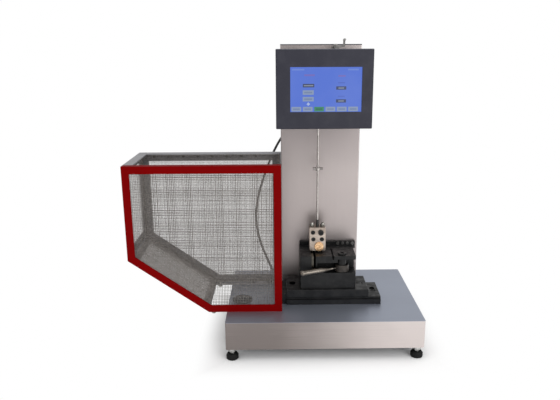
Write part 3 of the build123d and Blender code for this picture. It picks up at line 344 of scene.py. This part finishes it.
def rubber(name, colour, worn):
    """Black rubber with a bloom of dust."""
    f = Finish(name)
    fine = f.noise(700, 3.0, 0.6)
    dust = f.noise(120, 5.0, 0.65)
    shade = f.mix(dust.between(0.42, 0.85), colour, worn)
    rough = 0.5 + (dust - 0.5) * 0.3
    return f.surface(shade, Roughness=rough, Normal=f.bump(fine, 0.25, 0.00015))


def foot_finish(name, pad_top, thread_pitch=0.0015):
    """A foot's rubber pad below a height, and its zinc plated screw above it."""
    f = Finish(name)
    high = f.axes()[2]
    screw = high.between(pad_top, pad_top + 0.0002)
    dust = f.noise(120, 5.0, 0.65)
    thread = f.waves(high, thread_pitch) * screw
    shade = f.mix(dust.between(0.42, 0.85), tone(9, 9, 10), tone(24, 24, 24))
    zinc = f.mix(dust.between(0.35, 0.7), tone(150, 150, 148), tone(196, 196, 194))
    colour = f.mix(screw, shade, zinc)
    return f.surface(
        colour,
        Metallic=screw,
        Roughness=0.62 - screw * 0.28 + (dust - 0.5) * 0.2,
        Specular_IOR_Level=0.2,
        Normal=f.bump(thread, 0.5, 0.0003),
    )


def wire_finish(name):
    """Galvanised wire: grey spangle that changes from wire to wire."""
    f = Finish(name)
    spangle = f.noise(320, 2.0, 0.6)
    colour = f.mix(spangle.between(0.35, 0.7), tone(108, 103, 99), tone(150, 144, 139))
    return f.surface(colour, Metallic=0.5, Roughness=0.4 + (spangle - 0.5) * 0.2)


def screws_and_nuts(
    name, height, plated_above=True, dull=tone(120, 118, 112), bright=tone(178, 176, 170)
):
    """Black screws, and bright ones above or below a height."""
    f = Finish(name)
    plated = f.axes()[2].between(height - 0.0001, height + 0.0001)
    if not plated_above:
        plated = 1 - plated
    grain = f.noise(600, 3.0, 0.6)
    oil = f.noise(120, 3.0, 0.5)
    black = f.mix(oil.between(0.35, 0.7), tone(16, 16, 17), tone(44, 43, 43))
    zinc = f.mix(oil.between(0.35, 0.7), dull, bright)
    return f.surface(
        f.mix(plated, black, zinc),
        Metallic=0.5 + plated * 0.5,
        Roughness=0.42 - plated * 0.1 + (oil - 0.5) * 0.2,
        Normal=f.bump(grain, 0.2, 0.00008),
    )


def lit_picture(name):
    """Screen picture: light read from the face colours of the panel."""
    f = Finish(name)
    tint = f.node("ShaderNodeAttribute", {"attribute_name": "tint"})
    glow = f.noise(12, 2.0, 0.5)
    shade = f.mix((glow - 0.4) * 0.25, tint, tone(190, 205, 245))
    return f.surface(tone(12, 14, 20), Roughness=0.25, Emission_Color=shade, Emission_Strength=0.8)


def glass_sheet(name):
    """Dark touch glass with finger marks."""
    f = Finish(name)
    smear = f.noise((60, 60, 25), 5.0, 0.65)
    colour = f.mix(smear.between(0.4, 0.8), tone(18, 20, 28), tone(30, 33, 42))
    return f.surface(colour, Roughness=0.1 + smear * 0.15, Coat_Weight=0.4)


# Mesh work

def mesh_of(name, points, faces, material, body):
    """A flat-faced piece from whole arrays of points and faces, riding on a body."""
    corners = [tuple(point) for point in np.asarray(points, float).tolist()]
    mesh = bpy.data.meshes.new(name)
    mesh.from_pydata(corners, [], [tuple(face) for face in faces.tolist()])
    mesh.materials.append(material)
    mesh.update()
    piece = linked(name, mesh)
    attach(piece, body)
    return piece


def prisms(starts, ends, radius, sides, across):
    """Points and faces of straight prisms: one ring of points about each end of each line.

    A ring's points are end + radius * (cos * across + sin * (direction x across)). The ends are
    open, because a screen's hem hides them.
    """
    along = ends - starts
    along /= np.linalg.norm(along, axis=1)[:, None]
    first = np.broadcast_to(across, along.shape)
    second = np.cross(along, first)
    turn = ((np.arange(sides) + 0.5) * 2 * np.pi / sides)[None, :, None]
    ring = radius * (np.cos(turn) * first[:, None] + np.sin(turn) * second[:, None])
    points = np.concatenate([starts[:, None] + ring, ends[:, None] + ring], axis=1)
    near = np.arange(sides)
    after = np.roll(near, -1)
    one = np.stack([near, after, after + sides, near + sides], axis=1)
    faces = (np.arange(len(starts))[:, None, None] * 2 * sides + one[None]).reshape(-1, 4)
    return points.reshape(-1, 3), faces


def coordinates(node):
    """A CAD node's points at rest."""
    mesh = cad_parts[node].data
    points = np.empty(len(mesh.vertices) * 3)
    mesh.vertices.foreach_get("co", points)
    return points.reshape(-1, 3)


# The lead comes first. Both lists are its tube's route in the design, in millimetres: from the
# gland to the coil, and from the coil to the plug.

ROUTE = [
    (-20, 190, 470),
    (-22, 215, 470),
    (-39, 236, 462),
    (-63, 238, 445),
    (-86, 228, 416),
    (-107, 223, 374),
    (-128, 222, 318),
    (-146, 222, 254),
    (-148, 222, 190),
    (-134, 223, 134),
    (-116, 223, 90),
    (-100, 220, 52),
    (-80, 210, 20),
    (-52, 194, 4),
    (-22, 184, 3),
]
TAIL = [
    (-11, 178.6, 9.2),
    (1, 175.2, 9.2),
    (14, 177.5, 9),
    (24, 180.6, 8.6),
    (35.2, 182, 8),
]


def coil_points(turns_in=3, turns_out=3, each=12):
    """Control points of the coil in the design's millimetres, a dozen a turn.

    The lower layer winds inwards a diameter a turn, with its step in the last sixth of each
    turn. The lead then climbs, and the upper layer winds outwards and leaves at a tangent.
    """
    thick = 2 * CORD_RADIUS * 1000
    middle_x, middle_y = COIL_CENTRE[0] * 1000, COIL_CENTRE[1] * 1000
    sideways = {each - 2: 0.35, each - 1: 0.8}
    climb = {each - 3: 0.4, each - 2: 0.9, each - 1: 1.0}
    points = []
    for n in range((turns_in + turns_out) * each - 2):
        turn, step = divmod(n, each)
        wound = turn + sideways.get(step, 0.0)
        if turn < turns_in:
            shrink = min(wound, turns_in - 1)
        else:
            shrink = (turns_in + turns_out - 1) - wound
        radius = OUTER_TURN * 1000 - thick * shrink
        layer = 1.0 if turn >= turns_in else 0.0
        if turn == turns_in - 1:
            layer = climb.get(step, 0.0)
        angle = 2 * math.pi * step / each - math.pi / 2
        x = middle_x + radius * math.cos(angle)
        y = middle_y + radius * math.sin(angle)
        points.append((x, y, thick / 2 + thick * layer))
    return points


def lead():
    """The mains lead: a smooth line from its gland, down beside the column, to coil and plug."""
    route = ROUTE + coil_points() + TAIL
    curve = bpy.data.curves.new("lead", "CURVE")
    curve.dimensions = "3D"
    line = curve.splines.new("NURBS")
    line.points.add(len(route) - 1)
    flat = np.array([(*place(*point), 1.0) for point in route]).ravel()
    line.points.foreach_set("co", flat)
    line.order_u = 3
    line.use_endpoint_u = True
    line.resolution_u = 6
    curve.bevel_depth = CORD_RADIUS
    curve.bevel_resolution = 4
    curve.use_fill_caps = True
    curve.materials.append(FINISHES["lead"])
    piece = linked("lead", curve)
    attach(piece, "frame")
    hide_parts("mains_cord", "mains_coil")
    return piece


FINISHES = {
    "lead": rubber("lead_jacket", tone(20, 20, 21), tone(44, 43, 42)),
}
flex = lead()


# Camera, floor and light

# The camera that the photograph's corners give. Picture size, focal length and the optical axis
# are in pixels, the eye is in the design's millimetres, pitch, yaw and roll are in degrees, and
# the sensor's width is in millimetres.
PICTURE = (560, 400)
FOCAL = 580.0
AXIS_AT = (289.4, 201.5)
EYE = (-85.0, -1255.9, 641.9)
AIM = (14.6, 1.0, -0.2)
SENSOR = 36


def camera():
    """The camera at its place, with its aim and lens and a small shift."""
    pitch, yaw, roll = (math.radians(v) for v in AIM)
    run = math.cos(pitch)
    ahead = Vector((math.sin(yaw) * run, math.cos(yaw) * run, -math.sin(pitch)))
    level = Vector((math.cos(yaw), -math.sin(yaw), 0))
    upright = level.cross(ahead)
    right = math.cos(roll) * level + math.sin(roll) * upright
    up = -math.sin(roll) * level + math.cos(roll) * upright
    turn = Matrix((right, up, -ahead)).transposed()
    data = bpy.data.cameras.new("photo_view")
    data.sensor_width = SENSOR
    data.lens = FOCAL / PICTURE[0] * SENSOR
    data.shift_x = (PICTURE[0] / 2 - AXIS_AT[0]) / PICTURE[0]
    data.shift_y = (AXIS_AT[1] - PICTURE[1] / 2) / PICTURE[0]
    data.clip_end = 50
    eye = linked("photo_view", data)
    eye.matrix_world = Matrix.Translation(Vector(place(*EYE))) @ turn.to_4x4()
    bpy.context.scene.camera = eye


# Metres: half the base's depth, the width over which the floor beside it fades to white, and how
# far the floor goes from the middle to each side.
BASE_HALF_Y = 0.15
FADE = 0.07
FLOOR_REACH = 6
# The strength of the light that the white surroundings give.
ROOM_LIGHT = 0.72
# Each lamp's name, place, aim, width and power, in metres and watts.
LAMPS = [
    ("top_lamp", (0.1, -0.5, 2.6), (0.0, 0.0, 0.3), 2.4, 17),
    ("right_lamp", (1.5, -1.9, 0.8), (0.1, 0.0, 0.2), 1.5, 26),
    ("left_lamp", (-1.9, -1.5, 1.5), (0.0, 0.0, 0.3), 1.8, 8),
]


def pale_floor():
    """Floor that takes the shadow near the tester and fades to the white of the room."""
    f = Finish("pale_floor")
    x, y, _ = f.axes()
    grit = f.noise(30, 3.0, 0.5)
    base_low, base_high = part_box("base_shell")
    base_x = (base_low[0] + base_high[0]) / 2
    base_half_x = (base_high[0] - base_low[0]) / 2
    near = f.node(
        "ShaderNodeBsdfPrincipled",
        None,
        {"Base Color": f.mix(grit, tone(246, 246, 246), tone(248, 248, 248)), "Roughness": 0.8},
    )
    white = f.node("ShaderNodeEmission", None, {0: (1, 1, 1, 1), 1: 1.0})
    beside = (abs(x - base_x) - base_half_x).math("MAXIMUM", abs(y) - BASE_HALF_Y)
    faded = beside.between(0.0, FADE) * f.ray("Camera", "Transmission")
    return f.end(f.node("ShaderNodeMixShader", None, {0: faded, 1: near, 2: white}))


def studio():
    """Pale floor, pale surroundings, and soft lamps: above, on the right and on the left."""
    r = FLOOR_REACH
    mesh = bpy.data.meshes.new("floor")
    mesh.from_pydata([(-r, -r, 0), (r, -r, 0), (r, r, 0), (-r, r, 0)], [], [(0, 1, 2, 3)])
    floor = linked("floor", mesh)
    mesh.materials.append(pale_floor())
    world = bpy.data.worlds.new("pale_room")
    bpy.context.scene.world = world
    f = Finish("pale_room", world)
    plain = f.node("ShaderNodeBackground", None, {0: (1, 1, 1, 1), 1: ROOM_LIGHT})
    white = f.node("ShaderNodeBackground", None, {0: (1, 1, 1, 1), 1: 1.0})
    seen = f.ray("Camera", "Transmission")
    shown = f.node("ShaderNodeMixShader", None, {0: seen, 1: plain, 2: white})
    f.end(shown, "ShaderNodeOutputWorld")
    for name, spot, aim, size, power in LAMPS:
        data = bpy.data.lights.new(name, "AREA")
        data.size = size
        data.energy = power
        lamp = linked(name, data)
        lamp.location = spot
        lamp.rotation_euler = (Vector(aim) - Vector(spot)).to_track_quat("-Z", "Y").to_euler()


camera()
studio()
bpy.context.scene.view_settings.view_transform = "Standard"


# Cage screens in fine wire

# Each screen's wires, in metres: how far apart they are, and their radius.
WIRES = {
    "screen_front": (0.0035, 0.00045),
    "screen_back": (0.0021, 0.00036),
    "screen_left": (0.0035, 0.00023),
    "screen_slant": (0.0035, 0.00058),
}
# How far a wire can lie to either side of its even place, in shares of a pitch.
UNEVEN = 0.13
WIRE_SIDES = 6
# The width of a screen's hem, in metres.
HEM = 0.0045
# Depths in a screen, in wire radii: the upright wires' axes, the level wires', the hem's far face.
UPRIGHT_DEPTH, LEVEL_DEPTH, HEM_DEPTH = 1, 2.7, 3.9
# Metres: how far the screens lie inside the ring's outline, the gaps at the ends of the left and
# the slanted screen, and how far these two stand off the outline.
RING_INSET = 0.0028
LEFT_GAP = 0.001
SLANT_GAP = 0.003
SKIN = 0.0001


def cage_corners():
    """The front ring's five corners, read from its own points, as x and z."""
    points = coordinates("cage_front_frame")
    low, high = points.min(0), points.max(0)
    knee_x = points[points[:, 2] < low[2] + 1e-5][:, 0].min()
    knee_z = points[points[:, 0] < low[0] + 1e-5][:, 2].min()
    return np.array(
        [
            (low[0], high[2]),
            (high[0], high[2]),
            (high[0], low[2]),
            (knee_x, low[2]),
            (low[0], knee_z),
        ]
    )


def inset(corners, distance):
    """The outline moved inwards: each corner where its two moved edges meet."""
    edges = np.roll(corners, -1, 0) - corners
    edges /= np.linalg.norm(edges, axis=1)[:, None]
    inward = np.stack([edges[:, 1], -edges[:, 0]], 1)
    before = np.roll(inward, 1, 0)
    share = 1 + (inward * before).sum(1)
    return corners + distance * (inward + before) / share[:, None]


def screen_lines(outline, pitch, axis):
    """Lines across a convex outline: the level of each, and where it starts and ends.

    Line n is at low + pitch * (n + 1 / 2 + draw), with a draw from -UNEVEN to UNEVEN.
    """
    other = 1 - axis
    low, high = outline[:, axis].min(), outline[:, axis].max()
    levels = np.arange(low + pitch / 2, high, pitch)
    draws = np.random.default_rng(len(levels)).uniform(-UNEVEN, UNEVEN, len(levels))
    levels += pitch * draws
    heads, tails = outline, np.roll(outline, -1, 0)
    span = tails[:, axis] - heads[:, axis]
    span = np.where(np.abs(span) < 1e-9, np.nan, span)
    share = (levels[:, None] - heads[None, :, axis]) / span[None]
    cut = heads[None, :, other] + share * (tails - heads)[None, :, other]
    cut = np.where((share >= 0) & (share <= 1), cut, np.nan)
    return levels, np.nanmin(cut, 1), np.nanmax(cut, 1)


def hem_faces(count):
    """Faces of a closed frame: its outer, inner, near and far sides, one face for each edge.

    Corner n of ring k is point n + count * k. The rings are outer near, outer far, inner near and
    inner far. A face's corners are given as a ring, and 0 for the edge's start or 1 for its end.
    """
    sides = (
        ((0, 0), (0, 1), (1, 1), (1, 0)),
        ((2, 0), (3, 0), (3, 1), (2, 1)),
        ((0, 0), (2, 0), (2, 1), (0, 1)),
        ((1, 0), (1, 1), (3, 1), (3, 0)),
    )
    n = np.arange(count)
    faces = [[(n + end) % count + count * ring for ring, end in side] for side in sides]
    return np.concatenate([np.stack(face, axis=1) for face in faces])


def screen(name, outline, origin, u_axis, v_axis):
    """A wire screen on a plane: upright wires, level wires behind them, and a folded hem.

    The outline is in the plane's own u and v. A point is origin + u * u_axis + v * v_axis, plus
    its depth along u_axis x v_axis.
    """
    pitch, wire = WIRES[name]
    u_axis, v_axis, origin = (np.asarray(v, float) for v in (u_axis, v_axis, origin))
    away = np.cross(u_axis, v_axis)
    inner = inset(outline, HEM * 0.5)

    def lift(u, v, depth):
        return origin + np.outer(u, u_axis) + np.outer(v, v_axis) + away * wire * depth

    at, low, high = screen_lines(inner, pitch, 0)
    uprights = lift(at, low, UPRIGHT_DEPTH), lift(at, high, UPRIGHT_DEPTH)
    at, low, high = screen_lines(inner, pitch, 1)
    levels = lift(low, at, LEVEL_DEPTH), lift(high, at, LEVEL_DEPTH)
    rings = [
        lift(*ring.T, depth) for ring in (outline, inset(outline, HEM)) for depth in (0, HEM_DEPTH)
    ]
    parts = [prisms(*ends, wire, WIRE_SIDES, away) for ends in (uprights, levels)]
    parts.append((np.concatenate(rings), hem_faces(len(outline))))
    firsts = np.cumsum([0] + [len(points) for points, _ in parts])
    points = np.concatenate([points for points, _ in parts])
    faces = np.concatenate([faces + first for (_, faces), first in zip(parts, firsts)])
    return mesh_of(name, points, faces, FINISHES["wire"], "frame")


def cage_screens():
    """Front and back screens in the rings, and the screens of the left and slanted sides.

    The knees are the slanted side's two corners: one on the left side and one on the bottom.
    """
    corners = cage_corners()
    outline = inset(corners, RING_INSET)
    across, up = (1, 0, 0), (0, 0, 1)
    front_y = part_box("cage_mesh_front")[1][1]
    front = screen("screen_front", outline, (0, front_y, 0), across, up)
    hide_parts("cage_mesh_front")
    back_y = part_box("cage_mesh_back")[1][1]
    back = screen("screen_back", outline, (0, back_y, 0), across, up)
    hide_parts("cage_mesh_back")

    sides_low, sides_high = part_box("cage_mesh_sides")
    near_y = sides_low[1]
    deep = sides_high[1] - near_y
    top_left, bottom_knee, side_knee = outline[0], outline[3], outline[4]
    tall = top_left[1] - side_knee[1] - 2 * LEFT_GAP
    left = np.array([(0, tall), (deep, tall), (deep, 0), (0, 0)])
    foot = (side_knee[0] + SKIN, near_y, side_knee[1] + LEFT_GAP)
    left_piece = screen("screen_left", left, foot, (0, 1, 0), up)

    run = bottom_knee - side_knee
    length = np.linalg.norm(run)
    along = np.array((run[0], 0, run[1])) / length
    inward = np.array((-along[2], 0, along[0]))
    long = length - 2 * SLANT_GAP
    slant = np.array([(0, deep), (long, deep), (long, 0), (0, 0)])
    start = np.array((side_knee[0], near_y, side_knee[1])) + along * SLANT_GAP + inward * SKIN
    slant_piece = screen("screen_slant", slant, start, along, (0, 1, 0))
    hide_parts("cage_mesh_sides")
    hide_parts("cage_mesh_sides")


# The display's picture

# The panel's middle x and z in the design, and its width and height, in millimetres.
PANEL = (11.7, 564.1, 146.3, 90.2)
# Metres: how far the picture lies in front of the glass, and each layer in front of the last.
GLASS_GAP = 0.0001
LAYER = 0.00005
# The pointer's middle on the panel, half its width, and its colour.
POINTER = (37.0, 74.2)
POINTER_HALF = 3.8
POINTER_TONE = (176, 196, 238)
# Colours of the boxes.
SKY, PALE, TITLE = (86, 121, 226), (144, 162, 194), (112, 143, 228)
READOUT, DIGITS, HEADING = (56, 68, 106), (140, 150, 168), (119, 112, 200)
CAPTION, WORD, GREEN, GREEN_WORD = (74, 104, 204), (120, 140, 180), (56, 142, 96), (34, 112, 78)


def labelled(left, top, width, height, face, word, margin=3.2):
    """A box and the plain bar that stands for the word on it, a third of its height."""
    bar = height * 0.34
    return [
        (left, top, width, height, face, 1),
        (left + margin, top + bar, width - 2 * margin, bar, word, 2),
    ]


def panel_boxes():
    """Each box of the panel: left, top, width and height in its millimetres, colour and layer."""
    boxes = [(0, 0, PANEL[2], PANEL[3], SKY, 0)]
    boxes += [(3.6, 3.7, 24.9, 2.9, TITLE, 1), (117.3, 3.7, 21.8, 3.1, TITLE, 1)]
    boxes += [(28.5, 14.4, 21.3, 3.6, HEADING, 1), (97.9, 16.0, 14.8, 3.5, HEADING, 1)]
    boxes += [(97.5, caption, 14.2, 2.1, CAPTION, 1) for caption in (30.4, 57.5)]
    boxes += labelled(25.6, 33.4, 23.4, 7.0, READOUT, DIGITS, 2.0)
    for top in (38.6, 64.7):
        boxes += labelled(93.9, top, 20.6, 6.7, READOUT, DIGITS, 4.6)
    for top in (46.2, 59.6):
        boxes += labelled(25.4, top, 22.6, 9.1, PALE, WORD)
    for n in range(6):
        face, word = (GREEN, GREEN_WORD) if n == 2 else (PALE, WORD)
        boxes += labelled(2.4 + 23.4 * n, 79.8, 20.0, 9.4, face, word)
    return boxes


def on_panel(across, down, layer):
    """A point of the panel, in metres: layer by layer it lies a hair further forward."""
    middle_x, middle_z, width, height = PANEL
    x, _, z = place(middle_x - width / 2 + across, 0, middle_z + height / 2 - down)
    return (x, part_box("display_glass")[0][1] - GLASS_GAP - LAYER * layer, z)


def screen_picture():
    """The panel's plain boxes and its pointer: flat four-cornered faces with a colour each."""
    points, tints = [], []
    for left, top, width, height, colour, layer in panel_boxes():
        right, bottom = left + width, top + height
        corners = [(left, top), (right, top), (right, bottom), (left, bottom)]
        points += [on_panel(*corner, layer) for corner in corners]
        tints += [(*tone(*colour), 1)] * 4
    for u, v in ((0, -1), (1, 0), (0, 1), (-1, 0)):
        points.append(on_panel(POINTER[0] + POINTER_HALF * u, POINTER[1] + POINTER_HALF * v, 1))
        tints.append((*tone(*POINTER_TONE), 1))
    faces = np.arange(len(points)).reshape(-1, 4)
    piece = mesh_of("screen_picture", points, faces, FINISHES["picture"], "frame")
    layer = piece.data.color_attributes.new("tint", "FLOAT_COLOR", "CORNER")
    layer.data.foreach_set("color", np.array(tints, float).ravel())


# Every node gets its finish

# Brushing, in waves a metre along x, y and z: upright and level. Then the clamp lever's angle.
VERTICAL = (900, 900, 12)
ALONG_X = (12, 900, 900)
LEVER = math.radians(202)
# The bands of height that have painted tones: a painted reflection on the base's top, and painted
# shade behind the display.
BASE_TOP = (0.0873, 0.0878, 1.0, 1.1)
BASE_TOP_REFLECTION = (tone(154, 159, 172), tone(172, 178, 191))
# Painted shade on the column below and behind the display, and its darker tones.
UNDER_DISPLAY = (0.33, 0.50, 0.58, 0.63)
DISPLAY_SHADE = (tone(148, 140, 139), tone(160, 152, 151))
# A painted gradient of light: the base's sheet turns from dark to light between these two x.
BASE_X = (-0.02, 0.30)
# Heights in metres above which a node's finish changes: for the hammer's nuts, the fence's screws,
# the cage's top rail and the painted shade on the clamp hub's crown. The last is a foot's pad, from
# its underside.
HAMMER_NUTS = 0.2571
FENCE_SCREWS = 0.15
CAGE_RAIL = 0.395
HUB_CROWN = 0.1765
PAD_TOP = 0.013
# Middles in the design's millimetres: the hammer's brass disc, and the clamp lever's grip.
BRASS_AT = (3.2, -17.0, 212.8)
GRIP_AT = (54.5, -28, 168.0)
FINISHES.update(
    {
        # The base's sheet has a painted gradient of light along x and a painted reflection on its
        # top.
        "base": brushed_sheet(
            "base_sheet", tone(207, 198, 195), tone(130, 122, 119), ALONG_X, BASE_TOP, BASE_TOP_REFLECTION, 0.45,
            BASE_X,
        ),
        # The column's sheet has painted shade below and behind the display.
        "column": brushed_sheet(
            "column_sheet", tone(188, 179, 177), tone(164, 155, 153), VERTICAL, UNDER_DISPLAY, DISPLAY_SHADE,
            0.36,
        ),
        "inner": coated("inner_steel", tone(96, 98, 102), tone(80, 80, 82), 0.5),
        "zinc": ground_steel("zinc_screws", tone(200, 200, 198), tone(140, 140, 140)),
        "black_screw": black_oxide("black_screws", tone(54, 54, 54), tone(20, 20, 21)),
        "hammer_screw": screws_and_nuts("hammer_screws", HAMMER_NUTS),
        "vice_screw": screws_and_nuts(
            "vice_screws", FENCE_SCREWS, dull=tone(96, 95, 94), bright=tone(134, 133, 131)
        ),
        "cage_screw": screws_and_nuts("cage_screws", CAGE_RAIL, False),
        # The bezel's top edge gets a painted highlight.
        "bezel": moulded(
            "charcoal_panel", tone(44, 44, 53), tone(52, 52, 60), 0.45, shine=0.2,
            edge=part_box("display_bezel")[1][2],
        ),
        "housing": coated("charcoal_box", tone(44, 46, 54), tone(56, 58, 66), 0.46, shine=0.2),
        "glass": glass_sheet("touch_glass"),
        "picture": lit_picture("panel_light"),
        "bright": ground_steel("bright_steel", tone(200, 194, 190), tone(146, 141, 138)),
        "insert": ground_steel("jaw_steel", tone(104, 100, 92), tone(62, 60, 55)),
        "hammer": ground_steel(
            "hammer_steel", tone(206, 193, 182), tone(146, 132, 121), (90, 1400, 1400), 0.32
        ),
        "brass": faced_brass("trim_brass", tuple(place(*BRASS_AT))),
        "ferrule": coated("ferrule_black", tone(20, 20, 21), tone(34, 33, 32), 0.35),
        "catch": ground_steel(
            "catch_steel", tone(170, 168, 166), tone(104, 102, 100), roughness=0.34
        ),
        "red": coated("ring_red", tone(113, 0, 1), tone(106, 0, 1), 0.5, shine=0.03),
        "grey": coated("rail_grey", tone(136, 136, 139), tone(124, 124, 127), 0.45, shine=0.3),
        "wire": wire_finish("cage_wire"),
        "oxide": black_oxide("vice_oxide", tone(37, 37, 37), tone(22, 22, 23)),
        # The hub's crown gets painted shade above HUB_CROWN.
        "hub": black_oxide(
            "hub_oxide", tone(72, 66, 61), tone(26, 25, 25), tone(104, 84, 66), HUB_CROWN
        ),
        "grip": turned_metal(
            "grip_aluminium", tone(130, 123, 115), tone(92, 86, 79),
            tuple(place(*GRIP_AT)), (0, math.radians(90), LEVER),
        ),
        "switch": moulded("switch_black", tone(20, 20, 21), tone(32, 32, 33), 0.3, coat=0.3),
        "level": moulded("level_black", tone(24, 24, 25), tone(40, 40, 40), 0.4),
        "foot": foot_finish("foot_rubber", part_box("levelling_foot_1")[0][2] + PAD_TOP),
        "rubber": rubber("plug_rubber", tone(20, 20, 21), tone(44, 43, 42)),
    }
)
NODE_FINISH = {
    "base": ["base_shell"],
    "inner": [
        "base_floor_plate", "column_spine", "power_supply", "bearing_housing", "angle_encoder",
        "encoder_coupling", "display_module",
    ],
    "level": ["round_level"],
    "column": ["column_shell", "column_back_cover", "bridge_arm"],
    "zinc": ["cover_screws"],
    "cage_screw": ["cage_bolts"],
    "black_screw": ["cam_pivot_bolt"],
    "vice_screw": ["vice_bolts"],
    "hammer_screw": ["hammer_bolts"],
    "housing": ["display_housing", "column_top_cap"],
    "bezel": ["display_bezel"],
    "glass": ["display_glass"],
    "bright": [
        "bearing_outer_rings", "bearing_inner_rings", "pivot_shaft", "pendulum_hub",
        "pendulum_rod", "tuning_collar", "striker_blade",
    ],
    "insert": ["fixed_jaw_insert"],
    "hammer": ["hammer_front_plate", "hammer_back_plate", "hammer_block"],
    "brass": ["brass_weight"],
    "ferrule": ["rod_ferrule"],
    "catch": ["latch_bracket", "latch_lever"],
    "red": ["cage_front_frame"],
    "grey": ["cage_back_frame", "cage_cross_members"],
    "oxide": [
        "vice_base_plate", "vice_end_plate", "vice_carrier_plate", "vice_body",
        "jaw_keeper_plate", "moving_jaw",
    ],
    "hub": ["cam_hub"],
    "grip": ["lever_grip"],
    "switch": ["switch_frame", "switch_rocker"],
    "foot": [f"levelling_foot_{n}" for n in (1, 2, 3, 4)],
    "rubber": ["cord_gland", "mains_plug"],
}
for key, names in NODE_FINISH.items():
    for node_name in names:
        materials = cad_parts[node_name].data.materials
        materials.clear()
        materials.append(FINISHES[key])

cage_screens()
screen_picture()
